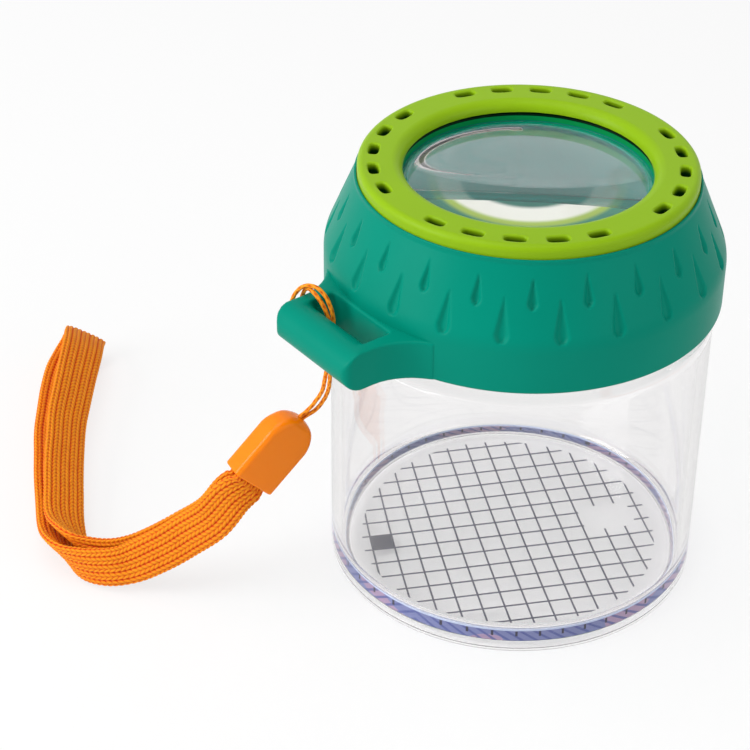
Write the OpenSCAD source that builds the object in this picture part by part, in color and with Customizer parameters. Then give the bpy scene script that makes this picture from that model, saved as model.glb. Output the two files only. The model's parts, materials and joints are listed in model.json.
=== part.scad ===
// Bug catcher jar: a clear jar with a printed measuring grid, a turn-to-lock lid with air vents
// and a magnifier, and a wrist lanyard looped round the lid's lug.
// Millimetres. The origin is on the jar's axis at the table, +Z is up, and the lug points along -X.

/* [Jar] */
// Outside diameter of the jar
jar_d = 84; // [76:1:110]
// Height of the shoulder that the lid closes on
shoulder_h = 69.8; // [50:0.1:110]
// Thickness of the jar's wall
jar_wall = 2.4; // [1.8:0.1:3.2]
// Gap under the raised floor
foot_h = 1.8; // [1:0.1:3]
// Width of the foot ring that the jar stands on
foot_w = 3; // [2.4:0.1:5]
// Thickness of the floor
floor_t = 2.6; // [1.8:0.1:4]
// Radius of the corner between floor and wall
corner_r = 3; // [1.5:0.1:5]
// Height of the neck above the shoulder
neck_h = 13.2; // [12:0.1:16]
// Thickness of the neck's wall
neck_wall = 2; // [1.6:0.1:2.8]

/* [Measuring grid] */
// Distance between two grid lines
grid_pitch = 5; // [4:0.5:10]
// Bare edge between the foot ring and the print
grid_margin = 4.6; // [3.5:0.1:14]
// Width of a printed line
line_w = 0.4; // [0.3:0.05:0.6]
// Thickness of the ink
ink_t = 0.1; // [0.1:0.05:0.2]
// Turn of the grid about the jar's axis, in degrees
grid_turn = -26; // [-45:1:45]

/* [Turn lock] */
// Number of locking lugs in the lid, and of ribs on the neck
catches = 4; // [3:1:4]
// How far a lug reaches in from the skirt
catch_reach = 2.1; // [1.8:0.1:2.6]
// Height of a lug
catch_t = 2.2; // [1.6:0.1:2.6]
// Width of a lug, in degrees
catch_angle = 12; // [8:1:14]
// How far the lid turns to lock, in degrees
lock_turn = 30; // [24:1:34]
// How far a rib stands out of the neck
rib_reach = 1.2; // [1:0.1:1.4]
// Height of the rib above a locked lug
rib_t = 1.4; // [1:0.1:1.8]

/* [Lid] */
// How far the lid stands out past the jar
lid_overhang = 1.4; // [1:0.1:3]
// Thickness of the lid's wall
lid_wall = 2; // [1.6:0.1:2.4]
// Height of the straight skirt
skirt_h = 9.4; // [9.2:0.1:14]
// Radius that blends the skirt into the cone
blend_r = 9.5; // [5:0.5:12]
// Height of the blend and cone above the skirt
cone_h = 17.5; // [16:0.1:24]
// Straight band at the cone's top edge
lip_h = 0.7; // [0.4:0.1:1.2]
// Width of the lip round the vent ring
lip_w = 0.5; // [0.4:0.1:1]
// Thickness of the plate under the vent ring
plate_t = 2.2; // [2:0.1:3]

/* [Vent ring] */
// Diameter of the window in the ring
window_d = 53.2; // [51:0.2:55]
// Width of the ring, from the window to its outer edge
ring_w = 9.7; // [9:0.1:10.4]
// Thickness of the ring's brow over the lens
brow_t = 2.5; // [2.4:0.1:3]
// How far the ring sits below the lid's lip
ring_seat = 1.5; // [1.3:0.1:2]
// How far the ring stands above the lid's lip
ring_rise = 2.8; // [2:0.1:4]
// Rounding of the ring's outer edge
ring_edge_r = 1.3; // [0.8:0.1:1.8]
// Distance from the ring's outer edge to the middle of a vent slot
vent_inset = 3.3; // [3:0.1:3.8]
// Length of a vent slot
vent_l = 4.5; // [3:0.1:5]
// Width of a vent slot
vent_w = 2.2; // [1.4:0.1:2.4]
// Diameter of the pegs that hold the ring
peg_d = 3; // [2:0.1:3.4]

/* [Magnifier] */
// Width of the ledge that carries the lens
ledge_w = 1.6; // [1.2:0.1:2.4]
// Width of the collar round the lens
collar_w = 2; // [1.4:0.1:2.2]
// Thickness of the lens at its edge
lens_edge_t = 0.6; // [0.4:0.1:0.8]
// Height of the lens's dome above its edge
dome_h = 3; // [1.5:0.1:4]
// Depth of the lens's belly below its edge
belly_h = 0.8; // [0.5:0.1:3.5]

/* [Strap lug] */
// Diameter of the bar
bar_d = 9; // [6:0.1:9]
// Width of the slot between the bar and the lid
slot_w = 4.5; // [4.4:0.1:7]
// Length of the slot
slot_l = 19.4; // [17:0.2:24]
// Width of the two arms
arm_w = 2.9; // [2:0.1:4]
// Radius of the flare from the arms into the lid
flare_r = 14; // [8:0.5:18]
// Rounding of the bar's ends, seen from above
bar_end_r = 2; // [1:0.1:2.5]

/* [Lanyard] */
// Diameter of the thin cord
cord_d = 0.9; // [0.8:0.05:0.95]
// Width of the sleeve
sleeve_w = 12; // [11.6:0.1:14]
// Thickness of the sleeve
sleeve_t = 6.2; // [6:0.1:8]
// Length of the sleeve
sleeve_l = 18; // [17:0.5:24]
// Wall of the sleeve at its mouth
sleeve_wall = 1; // [0.8:0.05:1.1]
// Thickness of one layer of the strap
strap_t = 1.9; // [1.6:0.1:1.9]

/* [Hidden] */
$fn = 96;

// Overrun of every cut past the face that it opens
overrun = 0.5;
// Overlap of two shapes that would otherwise only touch
merge = 0.02;
// Clearance between pieces that move on each other
play = 0.3;
// Clearance round the ring and its pegs
snug = 0.1;

// How far the print lies off the jar's axis, as shares of the distance between lines
print_shift_shares = [-0.092, -0.048];
// The bare place's near corner and its size, counted in cells from the print's middle
bare_cells = [3.6, -0.9, 2.5, 1.8];

jar_r = jar_d / 2;
jar_inner_r = jar_r - jar_wall;
floor_top = foot_h + floor_t;
foot_round = 1;

rim_z = shoulder_h + play;
lid_r = jar_r + lid_overhang;
lid_inner_r = lid_r - lid_wall;
neck_r = lid_inner_r - catch_reach - play;
neck_inner_r = neck_r - neck_wall;
neck_top = shoulder_h + neck_h;

catch_rise = 2.8;
catch_gap = 0.5;
catch_z = rim_z + catch_rise;
rib_under_t = 1;
rib_stop_angle = 2.5;
lock_slack_angle = 1;
rib_start = catch_angle / 2 + 3;
rib_end = catch_angle / 2 + lock_turn + lock_slack_angle + rib_stop_angle;

crease_z = rim_z + skirt_h;
window_r = window_d / 2;
ring_r = window_r + ring_w;
vent_r = ring_r - vent_inset;
lip_r = ring_r + snug + lip_w;
cone_top_z = crease_z + cone_h;
// Slope from upright of the line that leaves the blend's arc and ends at the lip
cone_in = lip_r - lid_r + blend_r;
cone_angle = atan2(cone_h, cone_in) - acos(blend_r / norm([cone_in, cone_h]));
blend_z = crease_z + blend_r * sin(cone_angle);
blend_end_r = lid_r - blend_r * (1 - cos(cone_angle));
seam_z = cone_top_z + lip_h;
plate_z = seam_z - ring_seat;
plate_under_z = plate_z - plate_t;
ring_top = seam_z + ring_rise;

window_round = 2.3;
well_gap = 0.4;
well_r = window_r + well_gap;
collar_r = well_r + collar_w;
brow_z = ring_top - brow_t;
brow_gap = 0.5;
collar_z = brow_z - brow_gap;
lens_r = well_r - play;
lens_flat_w = 0.5;
seat_z = plate_z - lens_edge_t - 2 * play;
vent_groups = 4;
vents_in_group = 5;
vent_step = 15;

bar_r = bar_d / 2;
slot_inset = 0.6;
slot_far = lid_r + slot_inset;
bar_x = slot_far + slot_w + bar_r;
lug_half = slot_l / 2 + arm_w;

drop_count = 22;
drop_turn = -169.4;
drop_depth = 0.55;
tail_depth = 0.05;
long_drop_r = 1.5;
short_drop_r = 1.1;
// Where a drop's round end and tail lie, as shares of the height from crease to seam
long_drop_shares = [0.17, 0.62];
short_drop_shares = [0.53, 0.83];

// Sleeve: the middle of its mouth, and its lean and turn in degrees
sleeve_at = [-61, 18.5, 32.5];
sleeve_lean = 46;
sleeve_turn = -10;
// Corner rounding along the sleeve and at its top, and the knot, as shares of the sleeve's thickness
sleeve_edge_share = 0.2;
sleeve_top_share = 0.3;
knot_share = 0.55;
// Depth of the strap's socket as a share of the sleeve's length
socket_share = 0.6;
// Radius of the cord's hole as a share of the cord's diameter
cord_hole_share = 1.2;
socket_l = sleeve_l * socket_share;
knot_d = sleeve_t * knot_share;
knot_up = socket_l + knot_d / 4;

// Strap: x, y, z of the middle of the two layers, tilt in degrees, half the layers' spacing, width
strap_route = [
    [-54.98, 17.44, 38.4, 0, 1.05, 9.4], [-60.79, 18.46, 32.71, 0, 1.05, 9.4],
    [-62.2, 18.71, 31.32, 1, 1.1, 9.4], [-64.5, 20.2, 28.6, 4, 1.2, 9.6],
    [-67.75, 23.35, 21.9, 9, 1.6, 10], [-72, 28.2, 16.1, 12, 1.8, 10.2],
    [-76.5, 32.3, 11.6, 12, 1.9, 10.2], [-81, 36.5, 8, 8, 1.9, 10.2], [-85.5, 40.5, 6.5, 2, 1.9, 10.2],
    [-88.8, 46, 6, -12, 1.9, 10.2], [-89.3, 52, 6.2, -38, 1.9, 10.2], [-86.5, 60, 5.4, -60, 1.9, 10.2],
    [-81.3, 69.68, 5.56, -62, 2.46, 10.2], [-77.01, 77.32, 5.98, -60, 2.75, 10.4],
    [-72.71, 84.47, 6.35, -58, 3.06, 10.4], [-67.93, 92.17, 6.8, -57, 3.47, 10.6],
    [-62.64, 99.4, 7.22, -56, 3.87, 10.8], [-56.83, 107.06, 7.65, -56, 4.31, 11],
    [-50.83, 114.48, 7.75, -58, 4.46, 11.2], [-46.3, 120.02, 6.8, -63, 3.66, 11.2],
    [-43, 123.5, 6.2, -68, 1.9, 11.2]];
// A strap layer's flat section, as shares of half its width and of half its thickness
strap_section_shares = [[1, 0], [0.92, 0.8], [0.6, 1], [-0.6, 1], [-0.92, 0.8],
                        [-1, 0], [-0.92, -0.8], [-0.6, -1], [0.6, -1], [0.92, -0.8]];

// Thin cord: knot, through the sleeve's top, up the slot, over the arm, round both strands, and back
cord_route = [
    [-53.05, 17.1, 40.99], [-51.07, 16.75, 42.93], [-48.75, 16.24, 45.22], [-46.8, 15.2, 47.2],
    [-45.6, 13.6, 50.4], [-45.8, 11.4, 54], [-46.3, 9.8, 58], [-46.4, 8.7, 62], [-46.4, 7.9, 66],
    [-46.8, 6.6, 71], [-47.3, 5.2, 75.5], [-47.8, 6, 79.5], [-48.5, 8.2, 81.9], [-49.6, 11, 82],
    [-50.3, 13.8, 79.6], [-50.8, 15.6, 75.5], [-50.4, 15.6, 71.5], [-49.6, 13.8, 68.2], [-49, 10.4, 66.8],
    [-48.8, 7, 66.2], [-48, 4.8, 66], [-46.5, 4.8, 66], [-45.3, 6.6, 66], [-45, 9.4, 66.4],
    [-46, 12.6, 67.4], [-47.6, 14.6, 70.4], [-48.6, 15, 74.5], [-48.8, 13.8, 78.6], [-49.2, 11.4, 80.9],
    [-49.2, 8.8, 80.7], [-48.6, 6.9, 78.6], [-48.05, 5.75, 75.5], [-48, 5, 71.5], [-47.7, 5.9, 67],
    [-47, 6.8, 62.5], [-46.2, 8.2, 58.2], [-45, 10.4, 54.2], [-44.4, 12.9, 50], [-45.4, 14.6, 46.8],
    [-47.71, 16, 44.84], [-49.89, 16.54, 42.7], [-52.02, 16.92, 40.62]];

// A vector of length one
function unit(v) = v / norm(v);

// The direction of travel at point i of a route
function heading(route, i) =
    let (last = len(route) - 1, a = route[max(i - 1, 0)], b = route[min(i + 1, last)])
    unit([b.x - a.x, b.y - a.y, b.z - a.z]);

// The strap at route point i: its middle, the direction across its width, and the direction through it
function strap_frame(i) =
    let (p = strap_route[i], t = heading(strap_route, i), side = unit([t.y, -t.x, 0]), up = cross(side, t))
    [[p.x, p.y, p.z], cos(p[3]) * up + sin(p[3]) * side, cos(p[3]) * side - sin(p[3]) * up, t];

// One ring of the strap: middle, width direction, thickness direction and width
function strap_ring(i, layer) =
    let (f = strap_frame(i), p = strap_route[i])
    [f[0] + layer * p[4] * f[2], f[1], layer * f[2], p[5]];

// The fold at the far end: a half turn from the outer to the inner layer
function fold_ring(a) =
    let (i = len(strap_route) - 1, f = strap_frame(i), p = strap_route[i])
    [f[0] + p[4] * (sin(a) * f[3] - cos(a) * f[2]), f[1], sin(a) * f[3] - cos(a) * f[2], p[5]];

strap_rings = concat(
    [for (i = [0 : len(strap_route) - 1]) strap_ring(i, -1)],
    [for (a = [36 : 36 : 144]) fold_ring(a)],
    [for (i = [len(strap_route) - 1 : -1 : 0]) strap_ring(i, 1)]);

// The corners of one ring, going round it
function ring_points(r) =
    [for (s = strap_section_shares) r[0] + s.x * r[3] / 2 * r[1] + s.y * strap_t / 2 * r[2]];

// Triangles that join the rings of a tube with n corners each, and close its two ends
function tube_faces(rings, n) = concat(
    [for (i = [0 : rings - 2], j = [0 : n - 1]) [i * n + j, i * n + (j + 1) % n, (i + 1) * n + j]],
    [for (i = [0 : rings - 2], j = [0 : n - 1])
        [i * n + (j + 1) % n, (i + 1) * n + (j + 1) % n, (i + 1) * n + j]],
    [for (j = [1 : n - 2]) [0, j + 1, j]],
    [for (j = [1 : n - 2]) [(rings - 1) * n, (rings - 1) * n + j, (rings - 1) * n + j + 1]]);

// A direction square to the cord at point i, carried along from the ring before it
function cord_side(i) =
    let (t = heading(cord_route, i), s = i == 0 ? [0, 1, 0] : cord_side(i - 1)) unit(s - (s * t) * t);

// The corners of the cord's ring at point i
function cord_points(i) =
    let (u = cord_side(i), v = cross(heading(cord_route, i), u))
    [for (j = [0 : 7]) cord_route[i] + cord_d / 2 * (cos(45 * j) * u + sin(45 * j) * v)];

// A sector of a ring between two radii, from angle a to angle b
module sector(inner_r, outer_r, h, a, b) {
    rotate(a)
        rotate_extrude(angle = b - a)
            translate([inner_r, 0])
                square([outer_r - inner_r, h]);
}

// A slot with round ends, its length along Y
module slot_hole(l, w, h) {
    linear_extrude(h) {
        square([w, l - w], center = true);
        for (s = [-1, 1]) translate([0, s * (l - w) / 2]) circle(d = w);
    }
}

// One of something at each vent slot
module at_vents() {
    for (g = [0 : vent_groups - 1], i = [0 : vents_in_group - 1])
        rotate(360 / vent_groups * (g + 0.5) + vent_step * (i - (vents_in_group - 1) / 2))
            translate([vent_r, 0, 0])
                children();
}

// One of something at each peg, between the groups of vents
module at_pegs() {
    for (g = [0 : vent_groups - 1])
        rotate(360 / vent_groups * g)
            translate([vent_r, 0, 0])
                children();
}

// The jar's outline: foot, wall, shoulder and neck, as a solid of revolution
module jar_body() {
    rotate_extrude() {
        translate([0, foot_round]) square([jar_r, shoulder_h - foot_round]);
        square([jar_r - foot_round, foot_round]);
        translate([jar_r - foot_round, foot_round]) circle(foot_round);
        translate([0, shoulder_h - overrun]) square([neck_r, neck_h + overrun]);
    }
}

// The space inside the jar, round at the floor and sloping in under the shoulder
module jar_space() {
    low_z = floor_top + corner_r;
    slope_z = shoulder_h - jar_wall;
    top_z = neck_top + overrun;
    rotate_extrude() {
        polygon([[0, low_z], [jar_inner_r, low_z], [jar_inner_r, slope_z - jar_inner_r + neck_inner_r],
                 [neck_inner_r, slope_z], [neck_inner_r, top_z], [0, top_z]]);
        translate([0, floor_top]) square([jar_inner_r - corner_r, corner_r]);
        translate([jar_inner_r - corner_r, floor_top + corner_r]) circle(corner_r);
    }
}

// The ribs on the neck that hold the lid's lugs: a ledge above, a ledge below and a stop between
module lock_ribs() {
    ledge_z = catch_z + catch_t + catch_gap;
    under_z = catch_z - catch_gap - rib_under_t;
    root_r = neck_r - neck_wall / 2;
    for (i = [0 : catches - 1])
        rotate(360 / catches * i)
            difference() {
                translate([0, 0, under_z])
                    sector(root_r, neck_r + rib_reach, ledge_z + rib_t - under_z, -rib_end, -rib_start);
                translate([0, 0, under_z + rib_under_t])
                    sector(root_r - overrun, neck_r + rib_reach + overrun, ledge_z - under_z - rib_under_t,
                           rib_stop_angle - rib_end, 0);
            }
}

module jar() {
    color([0.93, 0.93, 0.94, 0.4])
        union() {
            difference() {
                jar_body();
                jar_space();
                translate([0, 0, -overrun]) cylinder(r = jar_r - foot_w, h = foot_h + overrun);
            }
            lock_ribs();
        }
}

// The print: lines both ways, one filled cell at the left, and a place near the right left bare
module measuring_grid() {
    grid_r = jar_r - foot_w - grid_margin;
    lines = floor(grid_r / grid_pitch - 0.5);
    color([0.30, 0.29, 0.36])
        translate([0, 0, foot_h - ink_t])
            linear_extrude(ink_t)
                rotate(grid_turn)
                    translate(grid_pitch * print_shift_shares)
                        intersection() {
                            circle(grid_r);
                            union() {
                                difference() {
                                    for (i = [-lines - 1 : lines]) {
                                        at = (i + 0.5) * grid_pitch;
                                        translate([at - line_w / 2, -grid_r]) square([line_w, 2 * grid_r]);
                                        translate([-grid_r, at - line_w / 2]) square([2 * grid_r, line_w]);
                                    }
                                    translate([bare_cells[0] * grid_pitch, bare_cells[1] * grid_pitch])
                                        square([bare_cells[2] * grid_pitch, bare_cells[3] * grid_pitch]);
                                }
                                translate([(-lines - 0.5) * grid_pitch, -grid_pitch / 2]) square(grid_pitch);
                            }
                        }
}

// The lid's outline from the rim up to height top_z, set in by inset
module lid_outline(inset, top_z) {
    r = lid_r - inset;
    arc_r = blend_r - inset;
    end_r = r - arc_r * (1 - cos(cone_angle));
    end_z = crease_z + arc_r * sin(cone_angle);
    top_r = end_r - (top_z - end_z) * tan(cone_angle);
    rotate_extrude() {
        translate([0, rim_z - overrun]) square([r, crease_z - rim_z + overrun]);
        polygon([[0, crease_z], [r - arc_r, crease_z], [end_r - merge, end_z], [top_r - merge, top_z],
                 [0, top_z]]);
        translate([r - arc_r, crease_z])
            intersection() {
                circle(arc_r);
                square([arc_r, min(arc_r, top_z - crease_z)]);
            }
    }
}

// Teardrop grooves round the cone: long ones low down and short ones above the gaps
module drop_groove(r, shares, turn) {
    low_z = crease_z + shares[0] * (seam_z - crease_z);
    high_z = crease_z + shares[1] * (seam_z - crease_z);
    surface_r = blend_end_r - (low_z + r - blend_z) * tan(cone_angle);
    out = r - drop_depth;
    tail_l = (high_z - low_z - r) / cos(cone_angle);
    rotate(turn)
        translate([surface_r, 0, low_z + r])
            rotate([0, -cone_angle, 0])
                translate([out, 0, 0])
                    rotate_extrude($fn = 32)
                        intersection() {
                            union() {
                                circle(r);
                                polygon([[0, 0], [r, 0], [out + tail_depth, tail_l], [0, tail_l]]);
                            }
                            translate([0, -r]) square([r, r + tail_l]);
                        }
}

module lid_shell() {
    plate_cut_z = plate_under_z - overrun;
    plate_cut_h = plate_t + 2 * overrun;
    color([0.06, 0.60, 0.53])
        union() {
            difference() {
                union() {
                    lid_outline(0, cone_top_z);
                    translate([0, 0, cone_top_z]) cylinder(r = lip_r, h = lip_h);
                }
                translate([0, 0, rim_z - 2 * overrun]) cylinder(r = lid_r + overrun, h = 2 * overrun);
                lid_outline(lid_wall, plate_under_z);
                translate([0, 0, plate_z])
                    difference() {
                        cylinder(r = ring_r + snug, h = ring_seat + overrun);
                        translate([0, 0, -overrun]) cylinder(r = collar_r, h = collar_z - plate_z + overrun);
                    }
                translate([0, 0, seat_z]) cylinder(r = well_r, h = seam_z - seat_z + overrun);
                translate([0, 0, plate_cut_z]) cylinder(r = well_r - ledge_w, h = plate_cut_h);
                at_vents() translate([0, 0, plate_cut_z]) slot_hole(vent_l, vent_w, plate_cut_h);
                at_pegs() translate([0, 0, plate_cut_z]) cylinder(d = peg_d + 2 * snug, h = plate_cut_h);
                for (i = [0 : drop_count - 1]) {
                    drop_groove(long_drop_r, long_drop_shares, drop_turn + 360 / drop_count * i);
                    drop_groove(short_drop_r, short_drop_shares, drop_turn + 360 / drop_count * (i + 0.5));
                }
            }
            for (i = [0 : catches - 1])
                rotate(360 / catches * i)
                    translate([0, 0, catch_z])
                        sector(neck_r + play, lid_inner_r + lid_wall / 2, catch_t,
                               -catch_angle / 2, catch_angle / 2);
        }
}

// The lug seen from above: a frame with round ends, flaring into the lid
module lug_plan() {
    flare_y = lug_half + flare_r;
    flare_x = sqrt(pow(lid_r + flare_r, 2) - pow(flare_y, 2));
    tip_x = bar_x + bar_r;
    translate([-tip_x + bar_end_r, -lug_half]) square([tip_x - bar_end_r, 2 * lug_half]);
    translate([-tip_x, -lug_half + bar_end_r]) square([tip_x, 2 * (lug_half - bar_end_r)]);
    for (s = [-1, 1]) translate([-tip_x + bar_end_r, s * (lug_half - bar_end_r)]) circle(bar_end_r);
    difference() {
        polygon([[0, 0], [-flare_x, flare_y], [-flare_x, -flare_y]]);
        for (s = [-1, 1]) translate([-flare_x, s * (flare_y - merge)]) circle(flare_r);
    }
}

// The lug's bar, as a rod longer than the lug is wide
module bar_rod() {
    translate([-bar_x, lid_r, rim_z + bar_r]) rotate([90, 0, 0]) cylinder(r = bar_r, h = 2 * lid_r);
}

module strap_lug() {
    cut_z = rim_z - overrun;
    cut_h = bar_d + 2 * overrun;
    color([0.06, 0.60, 0.53])
        difference() {
            intersection() {
                translate([0, 0, cut_z]) linear_extrude(cut_h) lug_plan();
                union() {
                    translate([-bar_x, -lid_r, rim_z]) cube([bar_x, 2 * lid_r, bar_d]);
                    bar_rod();
                }
            }
            difference() {
                translate([-bar_x, -slot_l / 2, cut_z]) cube([bar_x - slot_far, slot_l, cut_h]);
                bar_rod();
            }
            translate([0, 0, cut_z]) cylinder(r = lid_r, h = cut_h);
        }
}

module vent_ring() {
    top_in = window_r + window_round;
    recess_r = collar_r + snug;
    edge_z = ring_top - ring_edge_r;
    color([0.58, 0.77, 0.16]) {
        difference() {
            rotate_extrude() {
                translate([recess_r, plate_z]) square([ring_r - recess_r, edge_z - plate_z]);
                translate([window_r, brow_z]) square([recess_r - window_r + merge, brow_t - window_round]);
                translate([top_in, brow_z]) square([recess_r - top_in + merge, edge_z - brow_z]);
                translate([top_in, edge_z - overrun])
                    square([ring_r - ring_edge_r - top_in, ring_edge_r + overrun]);
                translate([ring_r - ring_edge_r, edge_z]) circle(ring_edge_r);
                intersection() {
                    translate([top_in, ring_top - window_round]) circle(window_round);
                    translate([window_r, ring_top - window_round]) square(window_round);
                }
            }
            at_vents()
                translate([0, 0, plate_z - overrun])
                    slot_hole(vent_l, vent_w, ring_top - plate_z + 2 * overrun);
        }
        at_pegs() translate([0, 0, plate_under_z]) cylinder(d = peg_d, h = plate_t + ring_seat / 2);
    }
}

// Half of a shallow round cap, its flat side on the X axis: a piece of a circle through edge and top
module half_cap(r, h) {
    arc_r = (pow(r, 2) + pow(h, 2)) / (2 * h);
    intersection() {
        translate([0, h - arc_r]) circle(arc_r, $fn = 720);
        translate([0, -merge]) square([r, h + merge]);
    }
}

// A biconvex lens with a thin flat edge
module magnifier_lens() {
    lens_z = seat_z + play;
    belly_r = well_r - ledge_w - play;
    color([0.90, 0.90, 0.96, 0.4])
        rotate_extrude() {
            translate([0, lens_z]) square([lens_r, lens_edge_t]);
            translate([0, lens_z + lens_edge_t]) half_cap(lens_r - lens_flat_w, dome_h);
            translate([0, lens_z]) mirror([0, 1]) half_cap(belly_r, belly_h);
        }
}

module lanyard_cord() {
    color([0.95, 0.50, 0.08])
        polyhedron([for (i = [0 : len(cord_route) - 1]) each cord_points(i)],
                   tube_faces(len(cord_route), 8));
}

// Moves its children into the sleeve: mouth at the start, length along Z, width along X
module in_sleeve() {
    translate(sleeve_at) rotate([0, sleeve_lean, sleeve_turn]) children();
}

module cord_knot() {
    color([0.95, 0.50, 0.08])
        in_sleeve() translate([0, 0, knot_up]) sphere(d = knot_d, $fn = 32);
}

// A flat bar with a round-cornered section, w wide and t thick
module flat_bar(w, t, r, h) {
    linear_extrude(h)
        hull()
            for (x = [-1, 1], y = [-1, 1])
                translate([x * (w / 2 - r), y * (t / 2 - r)]) circle(r, $fn = 32);
}

module lanyard_sleeve() {
    dome_l = sleeve_w / 2;
    dome_at = sleeve_l - dome_l;
    top_r = sleeve_t * sleeve_top_share;
    mouth_w = sleeve_w - 2 * sleeve_wall;
    mouth_t = sleeve_t - 2 * sleeve_wall;
    color([0.94, 0.48, 0.09])
        in_sleeve()
            difference() {
                hull() {
                    flat_bar(sleeve_w, sleeve_t, sleeve_t * sleeve_edge_share, dome_at);
                    for (a = [0 : 30 : 180], y = [-1, 1])
                        translate([(dome_l - top_r) * cos(a), y * (sleeve_t / 2 - top_r),
                                   dome_at + (dome_l - top_r) * sin(a)])
                            sphere(top_r, $fn = 24);
                }
                translate([0, 0, -overrun]) flat_bar(mouth_w, mouth_t, sleeve_wall, socket_l + overrun);
                translate([0, 0, knot_up]) sphere(d = knot_d + play, $fn = 32);
                translate([0, 0, socket_l]) cylinder(r = cord_d * cord_hole_share, h = sleeve_l);
            }
}

module wrist_strap() {
    color([0.94, 0.46, 0.07])
        polyhedron([for (r = strap_rings) each ring_points(r)],
                   tube_faces(len(strap_rings), len(strap_section_shares)));
}

module strap_stitch() {
    stitch_w = sleeve_w / 2;
    stitch_h = strap_t / 2;
    color([0.98, 0.62, 0.20])
        in_sleeve()
            translate([-stitch_w / 2, -strap_t, sleeve_l / 4]) cube([stitch_w, 2 * strap_t, stitch_h]);
}

jar();
measuring_grid();
lid_shell();
strap_lug();
vent_ring();
magnifier_lens();
lanyard_cord();
cord_knot();
lanyard_sleeve();
wrist_strap();
strap_stitch();
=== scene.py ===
# %% [markdown]
# # A bug catcher jar
# A clear jar stands on the table. A teal cap closes it, with a lime ring of air vents and a lens in
# the middle, and an orange wrist lanyard hangs from the cap's lug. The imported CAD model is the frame:
# it fixes every size and place. Here each piece gets its finished form and its material.

# %% Load the frame
import json

import bmesh
import bpy
import numpy as np
from mathutils import Matrix

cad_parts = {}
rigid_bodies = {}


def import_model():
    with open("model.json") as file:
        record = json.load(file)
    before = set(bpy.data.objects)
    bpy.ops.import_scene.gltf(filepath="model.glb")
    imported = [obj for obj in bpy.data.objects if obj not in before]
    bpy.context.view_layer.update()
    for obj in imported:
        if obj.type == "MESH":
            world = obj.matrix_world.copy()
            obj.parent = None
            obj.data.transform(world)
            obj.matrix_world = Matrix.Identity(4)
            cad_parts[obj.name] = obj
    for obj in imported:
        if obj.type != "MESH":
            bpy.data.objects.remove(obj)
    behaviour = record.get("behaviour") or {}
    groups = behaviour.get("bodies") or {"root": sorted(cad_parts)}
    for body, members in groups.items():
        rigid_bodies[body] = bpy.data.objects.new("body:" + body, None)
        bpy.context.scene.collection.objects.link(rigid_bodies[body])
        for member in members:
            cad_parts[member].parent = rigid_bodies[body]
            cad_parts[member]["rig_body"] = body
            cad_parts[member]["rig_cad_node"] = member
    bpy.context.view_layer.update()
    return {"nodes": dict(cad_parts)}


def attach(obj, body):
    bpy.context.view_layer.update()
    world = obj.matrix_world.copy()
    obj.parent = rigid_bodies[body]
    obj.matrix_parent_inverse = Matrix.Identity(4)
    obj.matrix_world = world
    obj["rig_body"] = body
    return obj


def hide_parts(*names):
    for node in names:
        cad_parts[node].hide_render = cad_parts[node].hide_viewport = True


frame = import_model()
scene = bpy.context.scene
nodes = frame["nodes"]
MM = 0.001
print("CAD nodes:", ", ".join(sorted(nodes)))

# %% [markdown]
# ## The camera
# The photograph was taken from above and to the left of the lug with a long lens. Its place and
# focal length come from the jar's circles and the 5 mm grid, so the camera is set up from those
# numbers and not by eye. A camera looks along its own -Z, so the columns of its matrix are right,
# up and backwards.

# %% Place the camera
FOCAL_PX, FRAME_PX, SENSOR_MM = 2160.755, 750, 36
CAMERA_AT = np.array([-269.6, -301.4, 317.8]) * MM
CAMERA_WAY = np.array([0.5017, 0.6594, -0.5600])
CAMERA_ROLL = -0.00805


def unit(v):
    """Vectors of length one: each row divided by its own length."""
    return v / np.linalg.norm(v, axis=-1, keepdims=True)


def placed(right, up, back, at):
    """The matrix that turns an object's x, y and z to three directions and puts it at a place."""
    matrix = np.eye(4)
    matrix[:3] = np.column_stack([right, up, back, at])
    return Matrix(matrix.tolist())


forward = unit(CAMERA_WAY)
level = unit(np.array([forward[1], -forward[0], 0.0]))
down = np.cross(forward, level)
right = level * np.cos(CAMERA_ROLL) + down * np.sin(CAMERA_ROLL)
up = level * np.sin(CAMERA_ROLL) - down * np.cos(CAMERA_ROLL)

camera_data = bpy.data.cameras.new("camera")
camera_data.sensor_width = SENSOR_MM
camera_data.lens = FOCAL_PX / FRAME_PX * SENSOR_MM
camera_data.clip_start = 10 * MM
camera = bpy.data.objects.new("camera", camera_data)
camera.matrix_world = placed(right, up, -forward, CAMERA_AT)
scene.collection.objects.link(camera)
scene.camera = camera
print("lens:", round(camera_data.lens, 2), "mm")

# %% [markdown]
# ## Surfaces from arrays
# Nearly every piece here is a grid of points worked out at once: rows go one way over the surface
# and columns the other. Where a grid closes on itself its last column joins the first. One helper
# lists the quads of such a grid and another turns arrays into a mesh, merges the points that lie on
# each other and turns the faces outwards.

# %% Grid helpers
MERGE_DIST, SLIVER_DIST = 0.002, 0.0001


def grid_faces(rows, cols, wrap=True):
    """Corner numbers of the quads between neighbouring points of a rows x cols grid."""
    i, j = np.meshgrid(np.arange(rows - 1), np.arange(cols - (not wrap)), indexing="ij")
    i2, j2 = i + 1, (j + 1) % cols
    return np.stack([i * cols + j, i * cols + j2, i2 * cols + j2, i2 * cols + j], -1).reshape(-1, 4)


def grid_uv(rows, cols, u_size, v_size):
    """UV of every quad corner on a grid that wraps in columns: u runs along it and v around it."""
    i, j = np.meshgrid(np.arange(rows - 1), np.arange(cols), indexing="ij")
    corners = np.stack([i, j, i, j + 1, i + 1, j + 1, i + 1, j], -1).reshape(-1, 4, 2)
    return corners * np.array([u_size / (rows - 1), v_size / cols])


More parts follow.
